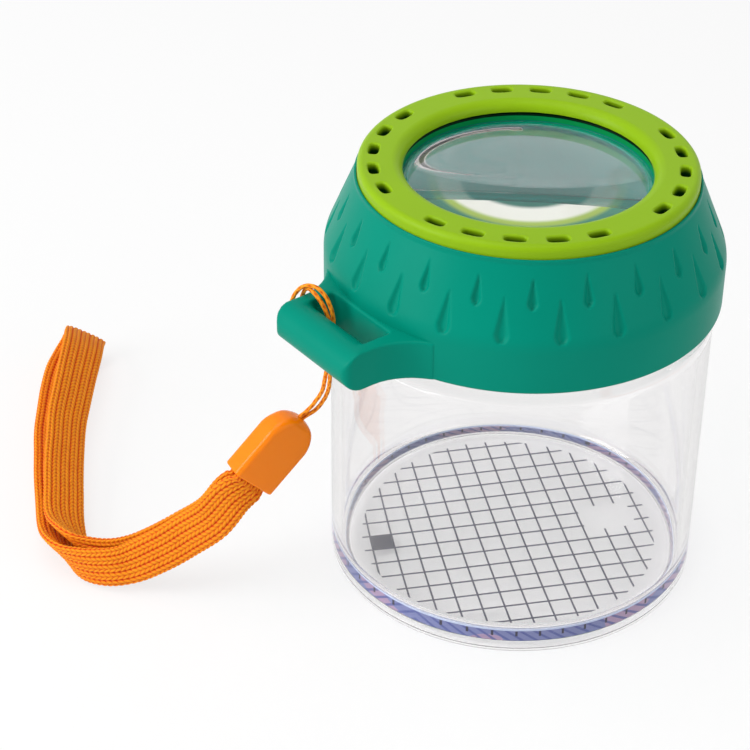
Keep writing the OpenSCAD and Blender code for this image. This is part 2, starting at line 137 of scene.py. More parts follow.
def surface(name, parts, uv=None, relief=None):
    """One object from a list of (points in millimetres, quads).

    Doubles are merged and faces turned outwards. uv holds a pair for every corner of every quad,
    and relief a height from 0 to 1 for every point.
    """
    starts = np.cumsum([0] + [len(p) for p, _ in parts])
    points = np.concatenate([p for p, _ in parts])
    quads = np.concatenate([q + s for (_, q), s in zip(parts, starts)])
    mesh = bpy.data.meshes.new(name)
    mesh.vertices.add(len(points))
    mesh.vertices.foreach_set("co", (points * MM).ravel())
    mesh.loops.add(quads.size)
    mesh.loops.foreach_set("vertex_index", quads.ravel())
    mesh.polygons.add(len(quads))
    mesh.polygons.foreach_set("loop_start", np.arange(0, quads.size, 4))
    mesh.update(calc_edges=True)
    if uv is not None:
        mesh.uv_layers.new(name="UVMap").data.foreach_set("uv", uv.ravel())
    if relief is not None:
        mesh.attributes.new("relief", "FLOAT", "POINT").data.foreach_set("value", relief.ravel())
    work = bmesh.new()
    work.from_mesh(mesh)
    bmesh.ops.remove_doubles(work, verts=work.verts, dist=MERGE_DIST * MM)
    bmesh.ops.dissolve_degenerate(work, edges=work.edges, dist=SLIVER_DIST * MM)
    bmesh.ops.recalc_face_normals(work, faces=work.faces)
    work.to_mesh(mesh)
    work.free()
    mesh.polygons.foreach_set("use_smooth", np.ones(len(mesh.polygons), bool))
    obj = bpy.data.objects.new(name, mesh)
    scene.collection.objects.link(obj)
    edge_of_corner = np.empty(len(mesh.loops), np.int32)
    mesh.loops.foreach_get("edge_index", edge_of_corner)
    open_edges = np.count_nonzero(np.bincount(edge_of_corner) != 2)
    print(f"{name}: {len(mesh.vertices)} points, {len(mesh.polygons)} faces, {open_edges} open edges")
    return obj


def closed_tube(name, path, axes, section, relief, uv_size):
    """A tube along a path, closed on the path's two ends.

    axes are two directions for each point of the path, and section holds how far each point of the
    tube lies along them. The UV map counts uv_size[0] along the path and uv_size[1] around it.
    """
    (side, normal), (x, y) = axes, section
    rings = path[:, None] + x[..., None] * side[:, None] + y[..., None] * normal[:, None]
    rows, cols = x.shape
    ends = np.repeat(path[[0, -1], None], cols, 1)
    grid = np.concatenate([ends[:1], rings, ends[1:]])
    flat = np.zeros((1, cols))
    return surface(
        name,
        [(grid.reshape(-1, 3), grid_faces(rows + 2, cols))],
        uv=grid_uv(rows + 2, cols, *uv_size),
        relief=np.concatenate([flat, relief, flat]),
    )


# %% [markdown]
# ## The lanyard comes first
# Soft pieces decide how much room the scene needs, so they are made before the rest. The strap is
# one flat tubular braid folded into a loop, and the thin cord is looped round the lug's arm and
# through itself. Both follow the routes of their CAD solids. A smooth curve through the route's
# points is sampled evenly, and a section is carried along it.

# %% Routes
# x, y, z of the middle of the strap's two layers, tilt in degrees, half the layers' spacing, width
STRAP_ROUTE = np.array([
    [-54.98, 17.44, 38.4, 0, 1.05, 9.4], [-60.79, 18.46, 32.71, 0, 1.05, 9.4],
    [-62.2, 18.71, 31.32, 1, 1.1, 9.4], [-64.5, 20.2, 28.6, 4, 1.2, 9.6],
    [-67.75, 23.35, 21.9, 9, 1.6, 10], [-72, 28.2, 16.1, 12, 1.8, 10.2],
    [-76.5, 32.3, 11.6, 12, 1.9, 10.2], [-81, 36.5, 8, 8, 1.9, 10.2], [-85.5, 40.5, 6.5, 2, 1.9, 10.2],
    [-88.8, 46, 6, -12, 1.9, 10.2], [-89.3, 52, 6.2, -38, 1.9, 10.2], [-86.5, 60, 5.4, -60, 1.9, 10.2],
    [-81.3, 69.68, 5.56, -62, 2.46, 10.2], [-77.01, 77.32, 5.98, -60, 2.75, 10.4],
    [-72.71, 84.47, 6.35, -58, 3.06, 10.4], [-67.93, 92.17, 6.8, -57, 3.47, 10.6],
    [-62.64, 99.4, 7.22, -56, 3.87, 10.8], [-56.83, 107.06, 7.65, -56, 4.31, 11],
    [-50.83, 114.48, 7.75, -58, 4.46, 11.2], [-46.3, 120.02, 6.8, -63, 3.66, 11.2],
    [-43, 123.5, 6.2, -68, 1.9, 11.2],
])
# x, y, z of the thin cord: knot, through the sleeve's top, round the lug's arm, and back
CORD_ROUTE = np.array([
    [-53.05, 17.1, 40.99], [-51.07, 16.75, 42.93], [-48.75, 16.24, 45.22], [-46.8, 15.2, 47.2],
    [-45.6, 13.6, 50.4], [-45.8, 11.4, 54], [-46.3, 9.8, 58], [-46.4, 8.7, 62], [-46.4, 7.9, 66],
    [-46.8, 6.6, 71], [-47.3, 5.2, 75.5], [-47.8, 6, 79.5], [-48.5, 8.2, 81.9], [-49.6, 11, 82],
    [-50.3, 13.8, 79.6], [-50.8, 15.6, 75.5], [-50.4, 15.6, 71.5], [-49.6, 13.8, 68.2],
    [-49, 10.4, 66.8], [-48.8, 7, 66.2], [-48, 4.8, 66], [-46.5, 4.8, 66], [-45.3, 6.6, 66],
    [-45, 9.4, 66.4], [-46, 12.6, 67.4], [-47.6, 14.6, 70.4], [-48.6, 15, 74.5], [-48.8, 13.8, 78.6],
    [-49.2, 11.4, 80.9], [-49.2, 8.8, 80.7], [-48.6, 6.9, 78.6], [-48.05, 5.75, 75.5], [-48, 5, 71.5],
    [-47.7, 5.9, 67], [-47, 6.8, 62.5], [-46.2, 8.2, 58.2], [-45, 10.4, 54.2], [-44.4, 12.9, 50],
    [-45.4, 14.6, 46.8], [-47.71, 16, 44.84], [-49.89, 16.54, 42.7], [-52.02, 16.92, 40.62],
])
STEPS_BETWEEN_POINTS = 60


def smooth_route(points, count):
    """count rows spaced evenly along a curve through the points.

    Between two points the curve is a cubic whose end slopes are half the step between their
    neighbours (Catmull-Rom), so it passes through every point without a corner.
    """
    padded = np.concatenate([2 * points[:1] - points[1:2], points, 2 * points[-1:] - points[-2:-1]])
    t = np.linspace(0, len(points) - 1, STEPS_BETWEEN_POINTS * (len(points) - 1) + 1)
    k = np.minimum(t.astype(int), len(points) - 2)
    f = (t - k)[:, None]
    a, b, c, d = padded[k], padded[k + 1], padded[k + 2], padded[k + 3]
    curve = b + 0.5 * f * (c - a + f * (2 * a - 5 * b + 4 * c - d + f * (3 * (b - c) + d - a)))
    length = np.concatenate([[0], np.cumsum(np.linalg.norm(np.diff(curve[:, :3], axis=0), axis=1))])
    even = np.linspace(0, length[-1], count)
    return np.stack([np.interp(even, length, column) for column in curve.T], -1)


def path_length(path):
    """The sum of the steps between neighbouring points."""
    return np.linalg.norm(np.diff(path, axis=0), axis=1).sum()


# %% [markdown]
# ### The wrist strap
# A flat tubular braid shows slanting stitches in columns. Neighbouring columns slant opposite ways,
# which gives chevrons, and every second groove between columns is deeper. Bump alone would leave a
# smooth outline, so the stitches are real relief, and the material draws the same stitches finely.

# %% The stitches
STITCH_PITCH, STITCH_COLUMNS = 1.25, 20
STITCH_SLANT = 0.9
OVAL_ACROSS, OVAL_AHEAD = 3.6, 3.8
OVAL_SHARE, RIDGE_SHARE = 0.66, 0.34


def stitch_height(along, around):
    """Height from 0 to 1 of the braid, along in stitches and around in columns.

    Each stitch is an oval: 1 less the squares of the distances from its middle, across the column
    and along it. The middle shifts with the place across the column, to opposite sides in even and
    odd columns. A third of the height is a ridge that spans a pair of columns.
    """
    across = around % 1.0 - 0.5
    lean = np.where(np.floor(around) % 2 == 0, 1.0, -1.0) * STITCH_SLANT * across
    ahead = (along + lean) % 1.0 - 0.5
    oval = np.sqrt(np.clip(1 - OVAL_ACROSS * across**2 - OVAL_AHEAD * ahead**2, 0, 1))
    return OVAL_SHARE * oval + RIDGE_SHARE * np.sqrt(np.abs(np.sin(np.pi * around / 2)))


# %% [markdown]
# The strap's section is a superellipse: cosine and sine of an angle, each raised to a small power,
# which makes a flat bar with round edges. Even steps of the angle would crowd the points at its ends
# and make the middle columns wide, so the outline is resampled at even steps of its length.

# %% The strap's section and its two layers
FOLD_POINTS = 16


def superellipse(angle, power):
    """x and y of a superellipse of half size 1: cosine and sine, each raised to a power."""
    c, s = np.cos(angle), np.sin(angle)
    return np.sign(c) * np.abs(c) ** power, np.sign(s) * np.abs(s) ** power


def even_outline(half_w, half_t, power, count):
    """count points spaced evenly round a superellipse, and the outward direction at each."""
    x, y = superellipse(np.linspace(0, 2 * np.pi, 8001), power)
    x, y = half_w * x, half_t * y
    run = np.concatenate([[0], np.cumsum(np.hypot(np.diff(x), np.diff(y)))])
    even = np.linspace(0, run[-1], count, endpoint=False)
    x, y = np.interp(even, run, x), np.interp(even, run, y)
    slope_x = np.roll(x, -1) - np.roll(x, 1)
    slope_y = np.roll(y, -1) - np.roll(y, 1)
    return x, y, unit(np.column_stack([slope_y, -slope_x]))


def strap_layers(count):
    """One layer of the strap after the other: out, round the fold, and back.

    The columns are the middle line, the directions across the strap and through it, and its width.
    """
    route = smooth_route(STRAP_ROUTE, count)
    middle, tilt, gap, width = route[:, :3], np.radians(route[:, 3:4]), route[:, 4:5], route[:, 5]
    travel = unit(np.gradient(middle, axis=0))
    side = unit(np.stack([travel[:, 1], -travel[:, 0], np.zeros(count)], -1))
    rise = np.cross(side, travel)
    across = np.cos(tilt) * rise + np.sin(tilt) * side
    through = np.cos(tilt) * side - np.sin(tilt) * rise
    turn = np.linspace(0, np.pi, FOLD_POINTS)[1:-1, None]
    bend = np.sin(turn) * travel[-1] - np.cos(turn) * through[-1]
    out, back = middle - gap * through, (middle + gap * through)[::-1]
    lines = np.concatenate([out, middle[-1] + gap[-1] * bend, back])
    sides = np.concatenate([across, np.repeat(across[-1:], len(turn), 0), across[::-1]])
    normals = np.concatenate([-through, bend, through[::-1]])
    widths = np.concatenate([width, np.repeat(width[-1:], len(turn)), width[::-1]])
    return np.column_stack([lines, sides, normals, widths])


# %% Make the wrist strap
STRAP_T, STRAP_EDGE = 1.9, 0.6
ROWS_PER_STITCH, POINTS_PER_COLUMN = 4, 4
# The relief's depth, and the share of it that lies below the strap's plain surface
STITCH_DEPTH, STITCH_SUNK = 0.42, 0.75
ROUTE_ROWS = 400

layers = strap_layers(ROUTE_ROWS)
strap_length = path_length(layers[:, :3])
strap_rows = int(strap_length / STITCH_PITCH * ROWS_PER_STITCH)
strap_cols = STITCH_COLUMNS * POINTS_PER_COLUMN
layers = smooth_route(layers, strap_rows)
line, strap_width = layers[:, :3], layers[:, 9]

flat_x, flat_y, outward = even_outline(0.5, STRAP_T / 2 / strap_width.mean(), STRAP_EDGE, strap_cols)
rows_at = np.linspace(0, strap_length / STITCH_PITCH, strap_rows)[:, None]
cols_at = np.linspace(0, STITCH_COLUMNS, strap_cols, endpoint=False)[None, :]
strap_relief = stitch_height(rows_at, cols_at)
bump_out = (strap_relief - STITCH_SUNK) * STITCH_DEPTH
across_at = strap_width[:, None] * flat_x + bump_out * outward[:, 0]
through_at = strap_width.mean() * flat_y + bump_out * outward[:, 1]
strap = closed_tube(
    "wrist_strap_braid", line, (unit(layers[:, 3:6]), unit(layers[:, 6:9])), (across_at, through_at),
    strap_relief, (strap_length / STITCH_PITCH, STITCH_COLUMNS),
)
print("strap length:", round(strap_length, 1), "mm")

# %% [markdown]
# ### The thin cord
# Its braid is too fine for stitches, so the tube gets two sets of opposite spiral waves. A frame
# that is carried along the curve, and turned only as far as the curve turns, keeps it from twisting.

# %% Make the thin cord
CORD_D, CORD_SIDES, CORD_STEP, CORD_FINE_ROWS = 0.9, 14, 0.11, 2000
SPIRALS, SPIRAL_PITCH = 3, 3.0
# The relief's depth, and the share of it that lies below the cord's plain surface
CORD_RELIEF, CORD_SUNK = 0.07, 0.7
LEVEL_WAY = np.array([0.31, -0.87, 0.13])


def carried_frames(path):
    """Two directions square to a path at each point, which turn about it as little as they can.

    A frame set against a fixed direction turns about the path where the path bends. How much it
    turns per step, summed up along the path, is turned back.
    """
    travel = unit(np.gradient(path, axis=0))
    u = unit(np.cross(travel, LEVEL_WAY))
    v = np.cross(travel, u)
    turned_by = np.arcsin(np.clip((np.diff(u, axis=0) * v[:-1]).sum(1), -1, 1))
    back = -np.concatenate([[0], np.cumsum(turned_by)])[:, None]
    return np.cos(back) * u + np.sin(back) * v, np.cos(back) * v - np.sin(back) * u


cord_length = path_length(smooth_route(CORD_ROUTE, CORD_FINE_ROWS))
cord_rows = int(cord_length / CORD_STEP)
cord_path = smooth_route(CORD_ROUTE, cord_rows)
theta = np.linspace(0, 2 * np.pi, CORD_SIDES, endpoint=False)[None, :]
spiral = 2 * np.pi * np.linspace(0, cord_length / SPIRAL_PITCH, cord_rows)[:, None]
waves = np.maximum(np.cos(SPIRALS * theta + spiral), np.cos(SPIRALS * theta - spiral))
cord_relief = waves * 0.5 + 0.5
cord_r = CORD_D / 2 + CORD_RELIEF * (cord_relief - CORD_SUNK)
cord = closed_tube(
    "lanyard_cord_braid", cord_path, carried_frames(cord_path),
    (cord_r * np.cos(theta), cord_r * np.sin(theta)), cord_relief, (cord_length, SPIRALS),
)
print("cord length:", round(cord_length, 1), "mm")

# %% [markdown]
# ## Turned profiles
# The jar, the ring, the lens and the cap are turned shapes: a profile of radius and height swept
# round the axis. Real mouldings have no knife edges, so every corner of a profile carries its own
# rounding, and a pair of guard points beside each arc keeps the shading of the flats flat.

# %% Profile helpers
ARC_STEPS = 6
GUARD = 0.12


def rounded(corners):
    """An open profile through (radius, height, rounding) corners, with an arc at each rounded one.

    The arc touches both sides at rounding / tan(half the corner's angle) from the corner, and its
    middle lies on the line that halves the angle. The guards stay within what the arcs leave free.
    """
    corners = np.array(corners, float)
    at, rounding = corners[:, :2], corners[:, 2]
    step = np.diff(at, axis=0)
    side = np.linalg.norm(step, axis=1)
    ahead = step / side[:, None]
    half = np.arccos(np.clip((-ahead[:-1] * ahead[1:]).sum(1), -1, 1)) / 2
    reach = np.concatenate([[0], rounding[1:-1] / np.tan(half), [0]])
    guard = np.minimum(GUARD, 0.4 * (side - reach[:-1] - reach[1:]))
    f = np.linspace(0, 1, ARC_STEPS + 1)[:, None]
    points = [at[:1]]
    for i in range(1, len(at) - 1):
        corner = at[i:i + 1]
        if rounding[i] == 0:
            points.append(corner)
            continue
        back, on = -ahead[i - 1], ahead[i]
        centre = corner + unit(back + on) * rounding[i] / np.sin(half[i - 1])
        start, end = corner + back * reach[i] - centre, corner + on * reach[i] - centre
        span = np.pi - 2 * half[i - 1]
        arc = centre + (np.sin((1 - f) * span) * start + np.sin(f * span) * end) / np.sin(span)
        before = corner + back * (reach[i] + guard[i - 1])
        after = corner + on * (reach[i] + guard[i])
        points += [before, arc, after]
    return np.concatenate(points + [at[-1:]])


def turned(profile, segments):
    """A profile swept round the axis: (points, quads), with a row of points for each profile point."""
    a = np.linspace(0, 2 * np.pi, segments, endpoint=False)
    r, z = profile[:, :1], profile[:, 1:]
    grid = np.stack([r * np.cos(a), r * np.sin(a), np.repeat(z, segments, 1)], -1)
    return grid.reshape(-1, 3), grid_faces(len(profile), segments)


# %% [markdown]
# ## The jar
# One clear moulding: foot ring, raised floor, wall, shoulder and neck. The neck carries four locking
# ribs that show through the lens, each a ledge above, a ledge below and a stop at one end. They are
# added to the neck's radius where the grid's rows and columns fall inside them.

# %% The jar's profile
JAR_R, JAR_IN_R, SHOULDER_Z = 42.0, 39.6, 69.8
NECK_R, NECK_IN_R, NECK_TOP = 39.0, 37.0, 83.0
FOOT_H, FLOOR_TOP, FOOT_IN_R = 1.8, 4.4, 39.0
TAPER_TOP, TAPER_LOW = 67.4, 64.8
RIB_UPPER, RIB_LOWER = (75.6, 77.0), (71.4, 72.4)
BELOW_RIBS, ABOVE_RIBS = 70.6, 78.5
RIB_EDGE = 0.12

outside = rounded([
    (0, FOOT_H, 0), (FOOT_IN_R, FOOT_H, 0.5), (FOOT_IN_R, 0, 0.4), (JAR_R, 0, 1.0),
    (JAR_R, SHOULDER_Z, 0.6), (NECK_R, SHOULDER_Z, 0.2),
])
edges_z = np.array(RIB_LOWER + RIB_UPPER)
neck_z = np.sort(np.concatenate([edges_z - RIB_EDGE, edges_z + RIB_EDGE, [BELOW_RIBS]]))
neck = np.column_stack([np.full(len(neck_z), NECK_R), neck_z])
inside = rounded([
    (NECK_R, ABOVE_RIBS, 0), (NECK_R, NECK_TOP, 0.6), (NECK_IN_R, NECK_TOP, 0.6),
    (NECK_IN_R, TAPER_TOP, 3.0), (JAR_IN_R, TAPER_LOW, 3.0), (JAR_IN_R, FLOOR_TOP, 3.0), (0, FLOOR_TOP, 0),
])
jar_profile = np.concatenate([outside, neck, inside])
print("jar profile:", len(jar_profile), "points")

# %% Make the jar with its ribs
JAR_SEGMENTS = 720
RIB_REACH = 0.22
RIBS, RIB_START, RIB_DEG, STOP_DEG = 4, -39.5, 30.5, 2.5


def between(values, low, high):
    """True where low < value < high."""
    return (values > low) & (values < high)


jar_points, jar_quads = turned(jar_profile, JAR_SEGMENTS)
jar_grid = jar_points.reshape(len(jar_profile), JAR_SEGMENTS, 3)
azimuth = np.linspace(0, 360, JAR_SEGMENTS, endpoint=False)[None, :]
past_start = (azimuth - RIB_START) % (360 / RIBS)
height = jar_profile[:, 1:]
on_neck = np.abs(jar_profile[:, :1] - NECK_R) < 0.01
ledge = (past_start <= RIB_DEG) & (between(height, *RIB_LOWER) | between(height, *RIB_UPPER))
stop = (past_start <= STOP_DEG) & between(height, RIB_LOWER[0], RIB_UPPER[1])
rib = on_neck & (ledge | stop)
jar_grid[..., :2] *= (1 + rib * RIB_REACH / NECK_R)[..., None]
jar = surface("jar_clear", [(jar_grid.reshape(-1, 3), jar_quads)])

# %% [markdown]
# ### The floor's edge
# Seen through the wall, the edge of the real floor looks violet and repeats the ends of the printed lines.
# Light runs along inside the floor there and is thrown back between its two faces a dozen times and more,
# which is further than a renderer follows a ray. A thin band inside the edge stands for that light, and its
# material paints what it shows: painted light and a painted reflection of the print.

# %% Make the floor's edge
EDGE_R, EDGE_T, EDGE_LOW, EDGE_HIGH, EDGE_ROUND = 38.8, 0.1, 1.95, 5.2, 0.03
EDGE_SEGMENTS = 360

edge_profile = rounded([
    (EDGE_R - EDGE_T, EDGE_LOW, 0), (EDGE_R, EDGE_LOW, EDGE_ROUND), (EDGE_R, EDGE_HIGH, EDGE_ROUND),
    (EDGE_R - EDGE_T, EDGE_HIGH, EDGE_ROUND), (EDGE_R - EDGE_T, EDGE_LOW, 0),
])
# A band of painted light inside the floor's edge, not a part of the real jar.
floor_edge = surface("jar_floor_edge_light", [turned(edge_profile, EDGE_SEGMENTS)])

# %% [markdown]
# ## Vent slots
# Ring and cap plate both have twenty slots in four groups of five. Cutting them with booleans would
# leave hard rims, so each slot gets a cell of its own: loops of points run from the cell's border,
# over a softly dished rim, down the slot's wall and back out over the underside. Neighbouring cells
# share their border points, and so do the turned parts inside and outside them.

# %% Places in a cell
VENT_R, VENT_L, VENT_W, VENT_CORNER = 33.0, 4.5, 2.2, 0.62
CELL_IN, CELL_OUT = 29.6, 35.0
CELLS, PLAIN_EVERY = 24, 6
SIDE_POINTS = 12


def in_cell(across, outwards):
    """x and y in a cell that lies on the y axis, from shares of -1 to 1 across it and outwards."""
    a = across * np.pi / CELLS
    r = CELL_IN + (outwards + 1) / 2 * (CELL_OUT - CELL_IN)
    return np.stack([r * np.sin(a), r * np.cos(a)], -1)


def spin(angle):
    """The matrix of a turn about z."""
    c, s = np.cos(angle), np.sin(angle)
    return np.array([[c, -s, 0], [s, c, 0], [0, 0, 1]])


def cell_border(f, g):
    """Shares of the points round a cell: along the inner arc, a side, the outer arc and a side."""
    return np.concatenate([
        np.column_stack([f[:-1], np.full(len(f) - 1, -1.0)]),
        np.column_stack([np.full(len(g) - 1, 1.0), g[:-1]]),
        np.column_stack([f[:0:-1], np.full(len(f) - 1, 1.0)]),
        np.column_stack([np.full(len(g) - 1, -1.0), g[:0:-1]]),
    ])


# %% Slot cells
DISH_STEPS, WALL_DRAFT = 9, 0.04
# Where the loops lie between the cell's border and the slot's rim, and down the slot's wall
TOP_SHARES, WALL_SHARES = (0.0, 0.4, 0.75, 0.95), (0.05, 0.5, 0.95, 1.0)


def slot_cells(z_top, z_under, arc_points, dish_l, dish_w, dish_depth):
    """All the cells of a slotted disc: a list of (points, quads).

    A cell's border is a piece of a ring: two arcs and two radial sides. A slot loop is a
    superellipse, and its point for a border point is the one in the same direction from the
    middle. Loops between them are weighted means of the two.
    """
    f, g = np.linspace(-1, 1, arc_points + 1), np.linspace(-1, 1, SIDE_POINTS + 1)
    border = cell_border(f, g)
    edge = in_cell(border[:, 0], border[:, 1])
    shape = np.column_stack(superellipse(np.arctan2(border[:, 1], border[:, 0]), VENT_CORNER))

    def slot_loop(grow_l, grow_w):
        return shape * [VENT_L / 2 + grow_l, VENT_W / 2 + grow_w] + [0, VENT_R]

    rim = slot_loop(dish_l, dish_w)
    loops = [(edge * (1 - share) + rim * share, z_top) for share in TOP_SHARES]
    for turn in np.linspace(0, np.pi / 2, DISH_STEPS):
        left = 1 - np.sin(turn)
        loops.append((slot_loop(dish_l * left, dish_w * left), z_top - dish_depth * (1 - np.cos(turn))))
    depth = z_top - dish_depth - z_under
    for share in WALL_SHARES:
        draft = WALL_DRAFT * depth * share
        loops.append((slot_loop(-draft, -draft), z_top - dish_depth - depth * share))
    loops += [((loops[-1][0] + edge) / 2, z_under), (edge, z_under)]
    cell = np.stack([np.column_stack([loop, np.full(len(loop), z)]) for loop, z in loops])
    patch = in_cell(*np.meshgrid(f, g))
    parts = []
    for m in range(CELLS):
        way = spin(2 * np.pi * m / CELLS - np.pi / 2).T
        if m % PLAIN_EVERY:
            parts.append((cell.reshape(-1, 3) @ way, grid_faces(len(loops), len(edge))))
            continue
        for z in (z_top, z_under):
            flat = np.dstack([patch, np.full(patch.shape[:2], z)])
            parts.append((flat.reshape(-1, 3) @ way, grid_faces(len(g), len(f), wrap=False)))
    return parts


# %% [markdown]
# ## The vent ring
# The lime ring stands proud of the cap. Its outer edge has a rounding that catches the light, and
# round the window it thins to a brow, which rolls down and hangs over the lens's well.

# %% Make the vent ring
RING_R, WINDOW_R, PLATE_Z, RING_TOP = 36.3, 26.6, 96.2, 100.5
BROW_Z, BROW_ROUND, RECESS_R = 98.0, 2.3, 29.1
RING_ARC = 16

ring_profile = rounded([
    (CELL_OUT, RING_TOP, 0), (RING_R, RING_TOP, 1.3), (RING_R, PLATE_Z, 0.2), (CELL_OUT, PLATE_Z, 0),
])
window_profile = rounded([
    (CELL_IN, PLATE_Z, 0), (RECESS_R, PLATE_Z, 0.1), (RECESS_R, BROW_Z, 0.2), (WINDOW_R, BROW_Z, 0.1),
    (WINDOW_R, RING_TOP, BROW_ROUND), (CELL_IN, RING_TOP, 0),
])
ring = surface("vent_ring_lime", [
    turned(ring_profile, CELLS * RING_ARC),
    turned(window_profile, CELLS * RING_ARC),
    *slot_cells(RING_TOP, PLATE_Z, RING_ARC, dish_l=0.5, dish_w=0.45, dish_depth=0.6),
])

# %% [markdown]
# ## The magnifier
# A biconvex lens with a thin flat edge. Light bends at both faces, and near the lens's front edge it is
# thrown back inside and shows the white sky as a crescent, so both faces are turned finely. The crescent
# itself is a painted reflection in the lens's material.

# %% Make the lens
LENS_R, LENS_Z, DOME_Z = 26.7, 95.3, 95.9
DOME_R, DOME_H = 26.2, 3.0
BELLY_R, BELLY_H = 25.1, 0.8
LAND_GAP = 0.2
LENS_RINGS, LENS_SEGMENTS = 80, 288


def round_cap(r, h):
    """Profile of a round cap, r wide and h high, from its edge to its top.

    The sphere through edge and top has the radius (r squared + h squared) / 2h.
    """
    sphere_r = (r**2 + h**2) / (2 * h)
    out = np.linspace(r, 0, LENS_RINGS)
    return np.column_stack([out, h - sphere_r + np.sqrt(sphere_r**2 - out**2)])


dome = round_cap(DOME_R, DOME_H) + [0, DOME_Z]
belly = round_cap(BELLY_R, BELLY_H)[::-1] * [1, -1] + [0, LENS_Z]
lens_edge = rounded([
    (BELLY_R + LAND_GAP, LENS_Z, 0), (LENS_R, LENS_Z, 0.1), (LENS_R, DOME_Z, 0.1),
    (DOME_R + LAND_GAP, DOME_Z, 0),
])
lens = surface("magnifier_clear", [turned(np.concatenate([belly, lens_edge, dome]), LENS_SEGMENTS)])

# %% [markdown]
# ## The cap
# The cap's cone carries two rows of drop-shaped hollows, round below and drawn out to a tail above.
# A hollow is a function on the surface: how far a point lies inside the drop's outline gives how
# deep it is pushed in. The inside and the slotted plate belong to the same closed surface.

# %% The cap's outline
CAP_R, RIM_Z, CREASE_Z, BLEND_R, CONE_DEG = 43.4, 70.1, 79.5, 9.5, 22.6
cone = np.radians(CONE_DEG)
blend_z = CREASE_Z + BLEND_R * np.sin(cone)
blend_end_r = CAP_R - BLEND_R * (1 - np.cos(cone))


def cap_outline(z):
    """Radius of the cap's outside at a height: straight skirt, blend arc, then cone."""
    above = np.clip(z - CREASE_Z, 0, BLEND_R)
    arc = CAP_R - BLEND_R + np.sqrt(np.maximum(BLEND_R**2 - above**2, 0))
    slope = blend_end_r - (z - blend_z) * np.tan(cone)
    return np.where(z < blend_z, arc, slope)


print("cone begins at:", round(float(blend_z), 2), "mm")

# %% The drops
DROPS, DROP_TURN, DROP_DEPTH = 22, -169.4, 0.8
# Half width, lowest and highest point of each kind of drop
LONG_DROP, SHORT_DROP = (1.75, 81.8, 90.8), (1.25, 88.5, 94.8)
DROP_BANK, TAIL_FADE = 0.75, 0.6


def drop_depth(azimuth, z, radius, size, turn):
    """How deep the drops of one row are at a place, in millimetres.

    Below its widest place a drop is a half circle, and above it the sides draw in to a point. The
    depth is a smooth step from the outline to the middle, and fades along the tail.
    """
    half_w, low, high = size
    step = 360 / DROPS
    u = np.radians((azimuth - turn + step / 2) % step - step / 2) * radius
    v = (z - low) / np.cos(cone)
    tall = (high - low) / np.cos(cone)
    up_tail = np.clip((v - half_w) / (tall - half_w), 0, 1)
    low_part = np.sqrt(np.maximum(half_w**2 - (v - half_w) ** 2, 0))
    outline = np.where(v < half_w, low_part, half_w * (1 - up_tail))
    inside = np.clip(1 - np.abs(u) / np.maximum(outline, 1e-6), 0, 1) * between(v, 0, tall)
    bank = np.clip(inside / DROP_BANK, 0, 1)
    return DROP_DEPTH * bank * bank * (3 - 2 * bank) * (1 - up_tail) ** TAIL_FADE


# %% The cap's profiles
CONE_TOP_Z, SEAM_Z, LIP_R, LIP_IN_R = 97.0, 97.7, 36.9, 36.4
COLLAR_R, COLLAR_Z, WELL_R, SEAT_Z, LEDGE_R = 29.0, 97.5, 27.0, 95.0, 25.4
PLATE_UNDER_Z, SKIRT_IN_R, CAP_WALL = 94.0, 41.4, 2.2
INNER_BEND_R, INNER_BEND_Z = SKIRT_IN_R - 0.7, 83.0
CAP_ROWS, GUARD_ROW_UP, ROWS_FROM, ROWS_BELOW_TOP = 52, 0.15, 0.6, 0.2

skirt = rounded([
    (SKIRT_IN_R, RIM_Z + 1, 0), (SKIRT_IN_R, RIM_Z, 0.4), (CAP_R, RIM_Z, 0.6), (CAP_R, CREASE_Z, 0),
])
rows_z = np.linspace(CREASE_Z + ROWS_FROM, CONE_TOP_Z - ROWS_BELOW_TOP, CAP_ROWS)
cone_z = np.concatenate([[CREASE_Z + GUARD_ROW_UP], rows_z])
outer = np.column_stack([cap_outline(cone_z), cone_z])
lip = rounded([
    (LIP_R + 0.08, CONE_TOP_Z - 0.1, 0), (LIP_R, SEAM_Z, 0.2), (LIP_IN_R, SEAM_Z, 0.1),
    (LIP_IN_R, PLATE_Z, 0.2), (CELL_OUT, PLATE_Z, 0),
])
well = rounded([
    (CELL_IN, PLATE_Z, 0), (COLLAR_R, PLATE_Z, 0.1), (COLLAR_R, COLLAR_Z, 0.2),
    (WELL_R, COLLAR_Z, 0.3), (WELL_R, SEAT_Z, 0.1), (LEDGE_R, SEAT_Z, 0.1),
    (LEDGE_R, PLATE_UNDER_Z, 0.2), (CELL_IN, PLATE_UNDER_Z, 0),
])
under = rounded([
    (CELL_OUT, PLATE_UNDER_Z, 0), (cap_outline(PLATE_UNDER_Z) - CAP_WALL, PLATE_UNDER_Z, 0.5),
    (INNER_BEND_R, INNER_BEND_Z, 3.0), (SKIRT_IN_R, CREASE_Z - 1, 2.0), (SKIRT_IN_R, RIM_Z + 1, 0),
])
cap_profile = np.concatenate([skirt, outer, lip])
print("cap profile:", len(cap_profile), "points")

# %% Make the cap
CAP_ARC = 36

